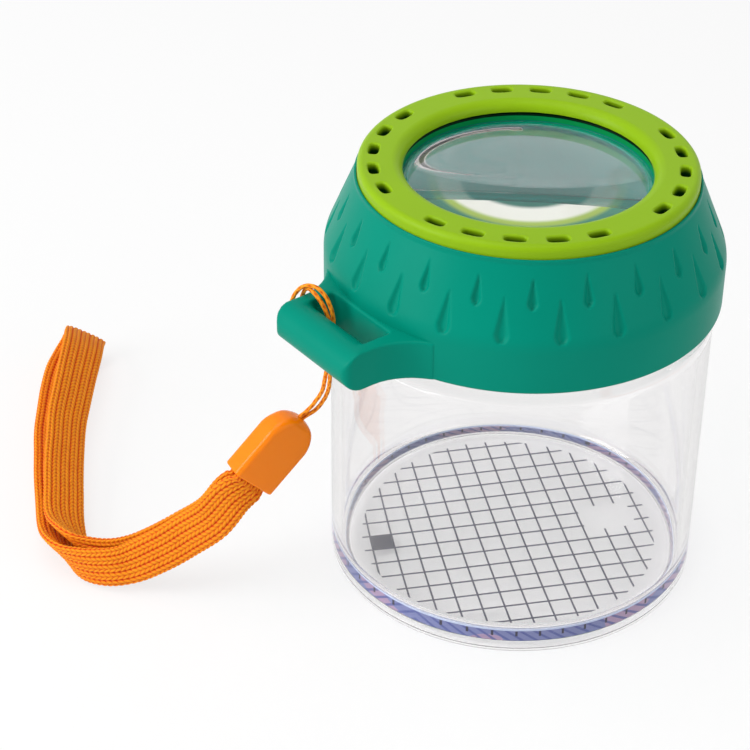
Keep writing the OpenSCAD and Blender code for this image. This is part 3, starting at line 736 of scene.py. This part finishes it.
cap_segments = CELLS * CAP_ARC
a_deg = np.linspace(0, 360, cap_segments, endpoint=False)[None, :]
r0, z0 = cap_profile[:, :1], cap_profile[:, 1:]
sunk = np.maximum(
    drop_depth(a_deg, z0, r0, LONG_DROP, DROP_TURN),
    drop_depth(a_deg, z0, r0, SHORT_DROP, DROP_TURN + 180 / DROPS),
)
r_cap, z_cap = r0 - sunk * np.cos(cone), z0 - sunk * np.sin(cone)
a_rad = np.radians(a_deg)
cap_grid = np.stack([r_cap * np.cos(a_rad), r_cap * np.sin(a_rad), z_cap], -1)
cap = surface("cap_teal", [
    (cap_grid.reshape(-1, 3), grid_faces(len(cap_profile), cap_segments)),
    turned(well, cap_segments),
    turned(under, cap_segments),
    *slot_cells(PLATE_Z, PLATE_UNDER_Z, CAP_ARC, dish_l=0.15, dish_w=0.15, dish_depth=0.15),
])

# %% [markdown]
# ## The strap lug
# The lug is a frame with a round bar, flaring into the cap: easy in CAD, awkward as a grid. So its
# CAD solid is copied, its ends are pushed a little into the cap's wall, and a voxel remesh with some
# smoothing gives its edges the soft rounding of the moulding.

# %% Make the lug
LUG_SINK, LUG_VOXEL, TOUCHES_CAP = 1.2, 0.3, 0.1

lug = nodes["strap_lug"].copy()
lug.data = nodes["strap_lug"].data.copy()
lug.name = "strap_lug_teal"
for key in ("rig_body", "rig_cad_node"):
    del lug[key]
lug.parent = None
scene.collection.objects.link(lug)
work = bmesh.new()
work.from_mesh(lug.data)
bmesh.ops.remove_doubles(work, verts=work.verts, dist=0.001 * MM)
work.to_mesh(lug.data)
work.free()
at = np.empty(3 * len(lug.data.vertices))
lug.data.vertices.foreach_get("co", at)
at = at.reshape(-1, 3)
reach = np.hypot(at[:, 0], at[:, 1])
joined = reach < (CAP_R + TOUCHES_CAP) * MM
at[joined, :2] *= (1 - LUG_SINK * MM / reach[joined])[:, None]
lug.data.vertices.foreach_set("co", at.ravel())
remesh = lug.modifiers.new("voxels", "REMESH")
remesh.mode = "VOXEL"
remesh.voxel_size = LUG_VOXEL * MM
remesh.use_smooth_shade = True
soften = lug.modifiers.new("soften", "SMOOTH")
soften.factor = 0.5
soften.iterations = 10
baked = bpy.data.meshes.new_from_object(lug.evaluated_get(bpy.context.evaluated_depsgraph_get()))
lug.modifiers.clear()
lug.data = baked
print("lug:", len(baked.polygons), "faces")

# %% [markdown]
# ## The sleeve
# A soft moulded sleeve joins cord and strap. It is a flat bar with rounded edges. Towards the top its
# width follows a half circle, while the thickness stays nearly full until the end, so the top reads
# as round from the wide side and keeps a soft edge.

# %% Rings of the sleeve
SLEEVE_AT = np.array([-61, 18.5, 32.5])
SLEEVE_LEAN, SLEEVE_TURN = np.radians(46), np.radians(-10)
CORNER_POINTS, FLAT_POINTS = 9, 8


def in_sleeve(points):
    """Points from the sleeve's own axes (width, thickness, length) to their place."""
    c, s = np.cos(SLEEVE_LEAN), np.sin(SLEEVE_LEAN)
    lean = np.array([[c, 0, s], [0, 1, 0], [-s, 0, c]])
    return points @ (spin(SLEEVE_TURN) @ lean).T + SLEEVE_AT


def bar_rings(half_w, half_t, at, edge):
    """Rings of a rounded rectangle: half sizes, height and edge radius for each ring.

    A point is the middle of a corner's arc plus the radius times a direction. Round a corner the
    direction turns and the middle stays, and along a flat side the middle moves and the direction
    stays.
    """
    corners = np.array([[1, 1], [-1, 1], [-1, -1], [1, -1]], float)
    turn = np.linspace(0, np.pi / 2, CORNER_POINTS)
    share = np.linspace(0, 1, FLAT_POINTS + 2)[1:-1, None]
    middles, ways = [], []
    for i, corner in enumerate(corners):
        angle = turn + i * np.pi / 2
        way = np.column_stack([np.cos(angle), np.sin(angle)])
        to_next = corners[(i + 1) % 4] - corner
        middles += [np.repeat(corner[None], CORNER_POINTS, 0), corner + share * to_next]
        ways += [way, np.repeat(way[-1:], FLAT_POINTS, 0)]
    middles, ways = np.concatenate(middles), np.concatenate(ways)
    edge = np.minimum(edge, np.minimum(half_w, half_t))[:, None]
    x = middles[:, 0] * (half_w[:, None] - edge) + ways[:, 0] * edge
    y = middles[:, 1] * (half_t[:, None] - edge) + ways[:, 1] * edge
    return np.stack([x, y, np.broadcast_to(at[:, None], x.shape)], -1)


# %% Make the sleeve
SLEEVE_W, SLEEVE_T, SLEEVE_L, SLEEVE_WALL, SOCKET_L = 12.0, 6.2, 18.0, 1.0, 10.8
SLEEVE_EDGE, SLEEVE_TOP_EDGE, MOUTH_EDGE, SOCKET_EDGE = 1.24, 1.86, 0.4, 1.0
MOUTH_FLARE, MOUTH_FLARE_L = 0.3, 0.5
FLAT_RINGS, DOME_RINGS, MOUTH_RINGS = [2.0, 10.0], 40, 6

dome_l = SLEEVE_W / 2
dome_turn = np.linspace(0, np.pi / 2, DOME_RINGS)
dome_out = dome_l * np.sin(dome_turn)
below_top = np.clip(dome_l - dome_out, 0, SLEEVE_TOP_EDGE)
edge_arc = np.sqrt(SLEEVE_TOP_EDGE**2 - (SLEEVE_TOP_EDGE - below_top) ** 2)
dome_t = SLEEVE_T / 2 - SLEEVE_TOP_EDGE + edge_arc
mouth_turn = np.linspace(-np.pi / 2, 0, MOUTH_RINGS)
mouth_in = MOUTH_EDGE * (1 - np.cos(mouth_turn))
body_w = np.concatenate([SLEEVE_W / 2 - mouth_in, [SLEEVE_W / 2] * 2, dome_l * np.cos(dome_turn)])
body_t = np.concatenate([SLEEVE_T / 2 - mouth_in, [SLEEVE_T / 2] * 2, dome_t])
body_at = np.concatenate([
    MOUTH_EDGE * (1 + np.sin(mouth_turn)), FLAT_RINGS, SLEEVE_L - dome_l + dome_out,
])
body_edge = np.interp(
    body_at, [SLEEVE_L - dome_l, SLEEVE_L - dome_l / 2], [SLEEVE_EDGE, SLEEVE_TOP_EDGE],
)
body = bar_rings(body_w, body_t, body_at, body_edge)
# The socket runs from its closed end to the mouth, where it flares
full, flare = np.array([0, 1, 1, 1]), np.array([0, 0, 0, MOUTH_FLARE])
socket = bar_rings(
    full * (SLEEVE_W / 2 - SLEEVE_WALL) + flare, full * (SLEEVE_T / 2 - SLEEVE_WALL) + flare,
    np.array([SOCKET_L, SOCKET_L, MOUTH_FLARE_L, 0.0]), np.full(4, SOCKET_EDGE),
)
rings = np.concatenate([socket, body])
sleeve_points = in_sleeve(rings.reshape(-1, 3))
sleeve = surface("lanyard_sleeve_orange", [(sleeve_points, grid_faces(*rings.shape[:2]))])

# %% [markdown]
# ## Materials
# Shader maths is easier to read as Python. A Value wraps a socket, and adding, multiplying or
# comparing Values adds Math nodes. Any other node comes from Graph.add, which sets the node's
# settings first and then feeds its sockets.

# %% Values


class Value:
    """One output socket of a graph."""

    def __init__(self, graph, socket):
        self.graph, self.socket = graph, socket

    def math(self, operation, *others):
        return self.graph.add("Math", {"operation": operation}, self, *others)

    def __add__(self, other):
        return self.math("ADD", other)

    def __mul__(self, other):
        return self.math("MULTIPLY", other)

    def __sub__(self, other):
        return self.math("SUBTRACT", other)

    def __rsub__(self, other):
        return self.graph.add("Math", {"operation": "SUBTRACT"}, other, self)

    def __gt__(self, other):
        return self.math("GREATER_THAN", other)

    def __lt__(self, other):
        return self.math("LESS_THAN", other)

    __radd__, __rmul__ = __add__, __mul__


# %% Graphs


class Graph:
    """The nodes of a material or a world."""

    def __init__(self, holder):
        holder.use_nodes = True
        self.holder, self.tree = holder, holder.node_tree
        self.tree.nodes.clear()

    def feed(self, socket, value):
        if isinstance(value, Value):
            self.tree.links.new(value.socket, socket)
        elif value is not None:
            socket.default_value = value

    def add(self, kind, settings=(), *values, output=0, **sockets):
        node = self.tree.nodes.new("ShaderNode" + kind)
        for key, value in dict(settings).items():
            setattr(node, key, value)
        for index, value in enumerate(values):
            self.feed(node.inputs[index], value)
        for key, value in sockets.items():
            self.feed(node.inputs[key.replace("_", " ")], value)
        return Value(self, node.outputs[output])

    def mix(self, factor, first, second):
        """A mix of two colours."""
        node = self.tree.nodes.new("ShaderNodeMix")
        node.data_type = "RGBA"
        self.feed(node.inputs[0], factor)
        self.feed(node.inputs[6], first)
        self.feed(node.inputs[7], second)
        return Value(self, node.outputs[2])

    def split(self, vector):
        """The vector's x, y and z."""
        node = self.tree.nodes.new("ShaderNodeSeparateXYZ")
        self.feed(node.inputs[0], vector)
        return [Value(self, part) for part in node.outputs]

    def place(self):
        """Where a point of the piece is, in metres."""
        return self.add("TexCoord", output=3)

    def radius_and_height(self, place):
        """Distance from the jar's axis, and height, in millimetres."""
        x, y, z = self.split(place)
        return (x * x + y * y).math("SQRT") * (1 / MM), z * (1 / MM)

    def noise(self, place, scale, detail=2.0):
        """Noise from 0 to 1 with scale changes to the metre."""
        return self.add("TexNoise", {}, Vector=place, Scale=scale, Detail=detail)

    def smooth_step(self, value, start, end):
        """0 at start and 1 at end, with a soft rise between them."""
        return self.add("MapRange", {"interpolation_type": "SMOOTHSTEP"}, value, start, end)

    def finish(self, shader, volume=None):
        kind = "World" if isinstance(self.holder, bpy.types.World) else "Material"
        output = self.tree.nodes.new("ShaderNodeOutput" + kind)
        self.feed(output.inputs["Surface"], shader)
        self.feed(output.inputs["Volume"], volume)
        print(self.holder.name, "has", len(self.tree.nodes), "nodes")
        return self.holder


def material(name):
    """The graph of a new material."""
    return Graph(bpy.data.materials.new(name))


# %% Colours


def paint(red, green, blue):
    """A screen colour, 0 to 255, as the linear colour that a shader wants."""
    c = np.array([red, green, blue]) / 255
    linear = np.where(c <= 0.04045, c / 12.92, ((c + 0.055) / 1.055) ** 2.4)
    return (*linear.tolist(), 1.0)


def shade(colour, amount):
    """A colour made lighter or darker."""
    return (*(min(c * amount, 1.0) for c in colour[:3]), 1.0)


# %% [markdown]
# ### Moulded plastic
# Cap, ring and sleeve are satin plastic. Under soft light such a surface shows a broad sheen, a very fine
# grain from the mould, and slight changes of tone over a few centimetres. Some parts of the lid get little
# light or a coloured light, and their colour carries painted shade, painted light or a painted reflection.

# %% Moulded plastic
TONE_SCALE, GRAIN_SCALE, GRAIN_DEPTH = 45.0, 2600.0, 0.012
# Where the lid's painted light, shade and reflection begin and end, a little beyond the surfaces that they
# are for
LIT_INSIDE_R, LIT_INSIDE_Z = SKIRT_IN_R + 0.2, PLATE_UNDER_Z + 0.5
SHADED_Z = COLLAR_Z - 0.5
VENT_LIGHT_Z, VENT_DARK_Z, VENT_LOW_Z = RING_TOP - 0.3, RING_TOP - 1.9, PLATE_UNDER_Z - 0.1


def moulded_plastic(name, colour, roughness, soft=0.0, gloss=0.12, deep=None, inner=None, well=()):
    """Satin plastic: a slow change of tone, and a fine grain in roughness and bump.

    deep is the painted shade of the vent slots, which darken downwards. inner is painted light for the
    inside of the cap, which is lit through its own thin wall. well holds two colours for the lens's well: a
    painted reflection of the ring for its wall, and painted shade for its upper edge under the brow.
    """
    g = material(name)
    place = g.place()
    fine = g.noise(place, GRAIN_SCALE)
    base = g.mix(g.noise(place, TONE_SCALE), shade(colour, 0.94), shade(colour, 1.06))
    radius, height = g.radius_and_height(place)
    # Painted light: the inside of the cap is lighter, for the light that comes through its thin wall.
    if inner:
        reach = radius + (height - blend_z).math("MAXIMUM", 0.0) * np.tan(cone)
        inside = (reach < LIT_INSIDE_R) * (height < LIT_INSIDE_Z)
        base = g.mix(inside, base, inner)
    # Painted reflection of the lime ring on the well's wall, and painted shade along its upper edge under
    # the brow.
    if well:
        reflecting_well = (radius < CELL_IN) * (height > DOME_Z)
        base = g.mix(reflecting_well, base, well[0])
        base = g.mix(reflecting_well * (height > SHADED_Z), base, well[1])
    # Painted shade: the vent slots darken downwards.
    if deep:
        cells = (radius > CELL_IN) * (radius < CELL_OUT) * (height > VENT_LOW_Z)
        base = g.mix(cells * g.smooth_step(height, VENT_LIGHT_Z, VENT_DARK_Z), base, deep)
    return g.finish(g.add(
        "BsdfPrincipled", {}, Base_Color=base, Roughness=fine * 0.12 + (roughness - 0.06),
        Normal=g.add("Bump", {}, Strength=0.25, Distance=GRAIN_DEPTH * MM, Height=fine),
        Subsurface_Weight=soft, Subsurface_Scale=1.5 * MM, IOR=1.49, Specular_IOR_Level=gloss,
    ))


TEAL = paint(0, 134, 113)
teal = moulded_plastic("teal_plastic", TEAL, 0.36, gloss=0.05)
# The cap's deep, inner and well colours are painted shade, painted light and a painted reflection.
cap_teal = moulded_plastic(
    "cap_teal", TEAL, 0.36, gloss=0.05,
    deep=paint(6, 22, 16), inner=paint(10, 212, 202), well=(paint(8, 142, 76), paint(0, 34, 16)),
)
# The ring's slot colour is painted shade.
lime = moulded_plastic("lime_plastic", paint(138, 178, 14), 0.38, deep=paint(10, 62, 12))
sleeve_orange = moulded_plastic("sleeve_orange", paint(255, 132, 0), 0.2, soft=0.1, gloss=0.22)

# %% [markdown]
# ### Clear plastic
# Jar and lens are solid clear plastic, so light has to bend through real walls. Rays from the lamps
# would be blocked by a bending surface, so a shadow ray meets a Transparent shader instead. A long
# way through the material takes a little light away, which turns the jar's edges slightly grey.

# %% Clear plastic
WEAR_SCALE, SHADOW_TINT = 120.0, (0.96, 0.96, 0.965, 1)
ALL_REFLECTED, HELD_BLEND = 0.98, 0.8


def clear_plastic(name, tint, density, roughness, ior, held=()):
    """Clear plastic, with a painted reflection for the light that total reflection holds inside.

    held lists radii in millimetres and the colours that begin there. A ray held in the lens's thin edge is
    reflected seven times before it leaves, and the renderer drops it after a few. So where the Fresnel node
    says that all light is reflected, the surface shows these colours instead: a painted reflection of the
    cap, the white sky and the lime ring.
    """
    g = material(name)
    place = g.place()
    wear = g.noise(place, WEAR_SCALE, 4.0)
    glass = g.add(
        "BsdfPrincipled", {}, Base_Color=(1, 1, 1, 1), Roughness=wear * 0.02 + (roughness - 0.01), IOR=ior,
        Transmission_Weight=1.0,
    )
    # Painted reflection: the held colours stand in for what total reflection would show.
    if held:
        radius = g.radius_and_height(place)[0]
        colour = held[0][1]
        for start, following in held[1:]:
            colour = g.mix(g.smooth_step(radius, start - HELD_BLEND, start + HELD_BLEND), colour, following)
        glow = g.add("BsdfPrincipled", {}, Base_Color=colour, Roughness=0.9, Specular_IOR_Level=0.0)
        glass = g.add("MixShader", {}, g.add("Fresnel", {}, ior) > ALL_REFLECTED, glass, glow)
    shadow_ray = g.add("LightPath", {}, output=1)
    clear = g.add("BsdfTransparent", {}, Color=SHADOW_TINT)
    volume = g.add("VolumeAbsorption", {}, Color=tint, Density=density)
    return g.finish(g.add("MixShader", {}, shadow_ray, glass, clear), volume)


jar_clear = clear_plastic("clear_jar", (0.64, 0.60, 0.60, 1), 46.0, roughness=0.02, ior=1.5)
# The lens's held colours are a painted reflection of the cap, the sky and the ring.
lens_clear = clear_plastic(
    "clear_lens", (0.80, 0.78, 0.95, 1), 10.0, roughness=0.015, ior=1.59,
    held=(
        (0, paint(40, 110, 98)), (13.4, paint(240, 238, 232)), (18.5, paint(168, 192, 84)),
        (20.4, paint(62, 136, 116)),
    ),
)

# %% [markdown]
# ### Braid
# The strap's material repeats the formula of its relief on the UV map, so each stitch has a crisp outline
# and a bump of its own. Its colour paints shade into the grooves, darker and redder, and light onto the
# tops, and fine waves across each stitch are its filaments. The thin cord reads its own relief in the same
# way.

# %% Braid
BLOTCH_SCALE = 260.0
# How fast the filaments' waves run along and around, and how deep the bump is in millimetres
STRAP_WAVE, CORD_WAVE = (40, 14), (30, 12)
STRAP_BUMP, CORD_BUMP = 0.2, 0.03


def yarn(g, height, groove, top, filaments, depth):
    """Yarn: colour by height, with painted shade in the grooves and painted light on the tops, and with
    filaments and slow blotches.
    """
    blotch = g.noise(g.place(), BLOTCH_SCALE, 3.0)
    # Painted shade in the grooves and painted light on the stitch tops, by height.
    tone = g.add("Clamp", {}, height * 1.25 + blotch * 0.3 - 0.38 + filaments * 0.12)
    bump = g.add("Bump", {}, Strength=0.8, Distance=depth * MM, Height=height + filaments * 0.15)
    return g.add(
        "BsdfPrincipled", {}, Base_Color=g.mix(tone, groove, top), Roughness=0.68 - height * 0.1,
        Normal=bump, Specular_IOR_Level=0.2, Sheen_Weight=0.06, Sheen_Roughness=0.4,
        Sheen_Tint=(1, 0.6, 0.2, 1),
    )


def waves_of(along, around, rates):
    """Fine waves from 0 to 1: the yarn's filaments."""
    return (along * rates[0] + around * rates[1]).math("SINE") * 0.5 + 0.5


def strap_braid(name, groove, top):
    """The stitches of stitch_height, worked out on the strap's UV map."""
    g = material(name)
    along, around = g.split(g.add("UVMap"))[:2]
    across = around.math("FRACT") - 0.5
    odd = (around * 0.5).math("FRACT") > 0.5
    ahead = (along + (1 - odd * 2) * across * STITCH_SLANT).math("FRACT") - 0.5
    oval = g.add("Clamp", {}, 1 - across * across * OVAL_ACROSS - ahead * ahead * OVAL_AHEAD).math("SQRT")
    ridge = (around * (np.pi / 2)).math("SINE").math("ABSOLUTE").math("SQRT")
    height = oval * OVAL_SHARE + ridge * RIDGE_SHARE
    return g.finish(yarn(g, height, groove, top, waves_of(ahead, across, STRAP_WAVE), STRAP_BUMP))


def cord_braid(name, groove, top):
    """The thin cord: its relief attribute, with filaments from waves on its UV map."""
    g = material(name)
    relief = g.add("Attribute", {"attribute_name": "relief"}, output=2)
    along, around = g.split(g.add("UVMap"))[:2]
    return g.finish(yarn(g, relief, groove, top, waves_of(along, around, CORD_WAVE), CORD_BUMP))


# Each braid's groove colour is painted shade and its top colour is painted light.
strap_orange = strap_braid("strap_braid", paint(216, 52, 0), paint(255, 157, 20))
cord_orange = cord_braid("cord_braid", paint(196, 78, 0), paint(255, 158, 30))

# %% Ink and thread
TRIM_SCALE = 900.0


def plain(name, colour, roughness):
    """A printed or sewn trim: one colour with a fine uneven tone."""
    g = material(name)
    base = g.mix(g.noise(g.place(), TRIM_SCALE), shade(colour, 0.85), colour)
    return g.finish(g.add("BsdfPrincipled", {}, Base_Color=base, Roughness=roughness))


ink = plain("grid_ink", paint(92, 90, 122), 0.6)
thread = plain("stitch_thread", paint(238, 130, 30), 0.8)

# %% [markdown]
# ### The violet edge, a band of painted light
# The band paints the light that the floor carries inside it. It repeats the print's lines as short dark
# ticks: lines one way end on it in front and behind, and lines the other way at its sides. Between them run
# slanting stripes of deeper blue, with patches of pink, and a pale line follows its upper edge.

# %% The violet edge
GRID_PITCH, GRID_TURN, GRID_SHIFT = 5.0, -26.0, (-0.46, -0.24)
TICK_SHARE, TICK_LOW, TICK_HIGH = 0.05, 3.2, 4.6
STRIPE_ALONG, STRIPE_UP, STRIPE_FROM = 0.34, 0.45, 0.68
PATCH_SCALE, PATCH_FROM, PALE_Z = 85.0, 0.51, 4.7


def painted_edge_light(name):
    """Painted light: ticks, stripes and patches. along counts millimetres across the lines that end at a
    place.
    """
    g = material(name)
    place = g.place()
    laid = g.add(
        "Mapping", {"vector_type": "TEXTURE"}, Vector=place, Rotation=(0, 0, np.radians(GRID_TURN)),
    )
    p, q = (part * (1 / MM) - shift for part, shift in zip(g.split(laid), GRID_SHIFT))
    side = p.math("ABSOLUTE") > q.math("ABSOLUTE")
    along = side * q + (1 - side) * p
    height = g.radius_and_height(place)[1]
    off_line = ((along * (1 / GRID_PITCH)).math("FRACT") - 0.5).math("ABSOLUTE")
    tick = (off_line < TICK_SHARE) * (height > TICK_LOW) * (height < TICK_HIGH)
    stripe = (along * STRIPE_ALONG + height * STRIPE_UP).math("FRACT") > STRIPE_FROM
    patch = g.noise(place, PATCH_SCALE, 0.0) > PATCH_FROM
    # All of these colours are painted light and a painted reflection of the print.
    base = g.mix(patch, paint(118, 126, 176), paint(168, 142, 174))
    base = g.mix(stripe * 0.85, base, paint(66, 80, 150))
    base = g.mix(height > PALE_Z, base, paint(196, 208, 236))
    base = g.mix(tick, base, paint(34, 30, 56))
    return g.finish(g.add("BsdfPrincipled", {}, Base_Color=base, Roughness=0.7))


edge_painted_light = painted_edge_light("floor_edge_painted_light")

# %% Dress the pieces
for obj, dress in (
    (strap, strap_orange), (cord, cord_orange), (jar, jar_clear), (ring, lime), (lens, lens_clear),
    (cap, cap_teal), (lug, teal), (sleeve, sleeve_orange), (nodes["measuring_grid"], ink),
    (floor_edge, edge_painted_light), (nodes["cord_knot"], cord_orange), (nodes["strap_stitch"], thread),
):
    obj.data.materials.clear()
    obj.data.materials.append(dress)
    print(obj.name, "wears", dress.name)

# %% [markdown]
# ## Which body carries what
# Every piece rides on a body of the frame and stands for the CAD node whose place it takes.

# %% Rides, replacements and slots
for obj, body, node, slot in (
    (jar, "jar", "jar", "clear_jar"),
    (floor_edge, "jar", "jar", "clear_jar"),
    (lens, "lens", "magnifier_lens", "clear_lens"),
    (cap, "lid", "lid_shell", "teal"),
    (lug, "lid", "strap_lug", "teal"),
    (ring, "lid", "vent_ring", "lime"),
    (sleeve, "lid", "lanyard_sleeve", "orange_sleeve"),
    (strap, "lid", "wrist_strap", "orange_braid"),
    (cord, "lid", "lanyard_cord", "orange_cord"),
):
    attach(obj, body)
    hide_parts(node)

# %% [markdown]
# ## Floor and light
# The photograph has a white ground, soft light from the left and from above, and a weaker one from
# the right. The floor is mostly its own white, so the shadows stay as faint as they are in the
# photograph. Under the jar it is less so, because the cap shades the ground there.

# %% Floor and world
FLOOR_HALF = 3
FLOOR_WHITE, SHADOW_UNDER_JAR = 0.74, 0.44
WORLD_SEEN, WORLD_LIGHT = 0.62, 0.38
UNDER_JAR_R = 39.5


def seen_directly(g):
    """1 for rays from the camera, from gloss and through clear plastic, else 0."""
    path = g.tree.nodes.new("ShaderNodeLightPath")
    rays = [Value(g, path.outputs[f"Is {kind} Ray"]) for kind in ("Camera", "Glossy", "Transmission")]
    return rays[0].math("MAXIMUM", rays[1]).math("MAXIMUM", rays[2])


floor_mesh = bpy.data.meshes.new("floor")
floor_corners = [(x * FLOOR_HALF, y * FLOOR_HALF, 0) for x, y in ((-1, -1), (1, -1), (1, 1), (-1, 1))]
floor_mesh.from_pydata(floor_corners, [], [(0, 1, 2, 3)])
floor = bpy.data.objects.new("floor", floor_mesh)
scene.collection.objects.link(floor)

g = material("white_floor")
# Partly painted shadow: within the jar's radius less of the floor's own white is given, so the real shade
# shows more.
shaded_under_jar = g.radius_and_height(g.place())[0] < UNDER_JAR_R
own_white = seen_directly(g) * (FLOOR_WHITE - shaded_under_jar * SHADOW_UNDER_JAR)
diffuse = g.add("BsdfDiffuse", {}, Color=(0.90, 0.90, 0.90, 1))
glow = g.add("Emission", {}, Color=(1, 1, 1, 1), Strength=1.0)
floor_mesh.materials.append(g.finish(g.add("MixShader", {}, own_white, diffuse, glow)))

g = Graph(bpy.data.worlds.new("studio"))
strength = seen_directly(g) * WORLD_SEEN + WORLD_LIGHT
scene.world = g.finish(g.add("Background", {}, Color=(1, 1, 1, 1), Strength=strength))

# %% Lamps


def softbox(name, at, size, watts, aim=(0, 0, 0.05)):
    """A square area lamp turned towards a point."""
    light = bpy.data.lights.new(name, "AREA")
    light.shape, light.size, light.energy = "SQUARE", size, watts
    lamp = bpy.data.objects.new(name, light)
    back = unit(np.array(at) - np.array(aim))
    across = unit(np.cross([0, 0, 1], back))
    lamp.matrix_world = placed(across, np.cross(back, across), back, at)
    scene.collection.objects.link(lamp)
    print(name, "lamp:", watts, "W")


softbox("key", (-1.0, 0.35, 0.55), size=0.7, watts=9.5)
softbox("top", (-0.25, 0.1, 1.1), size=0.9, watts=5)
softbox("fill", (0.3, -0.9, 0.45), size=0.8, watts=2.5)
scene.view_settings.view_transform = "Standard"
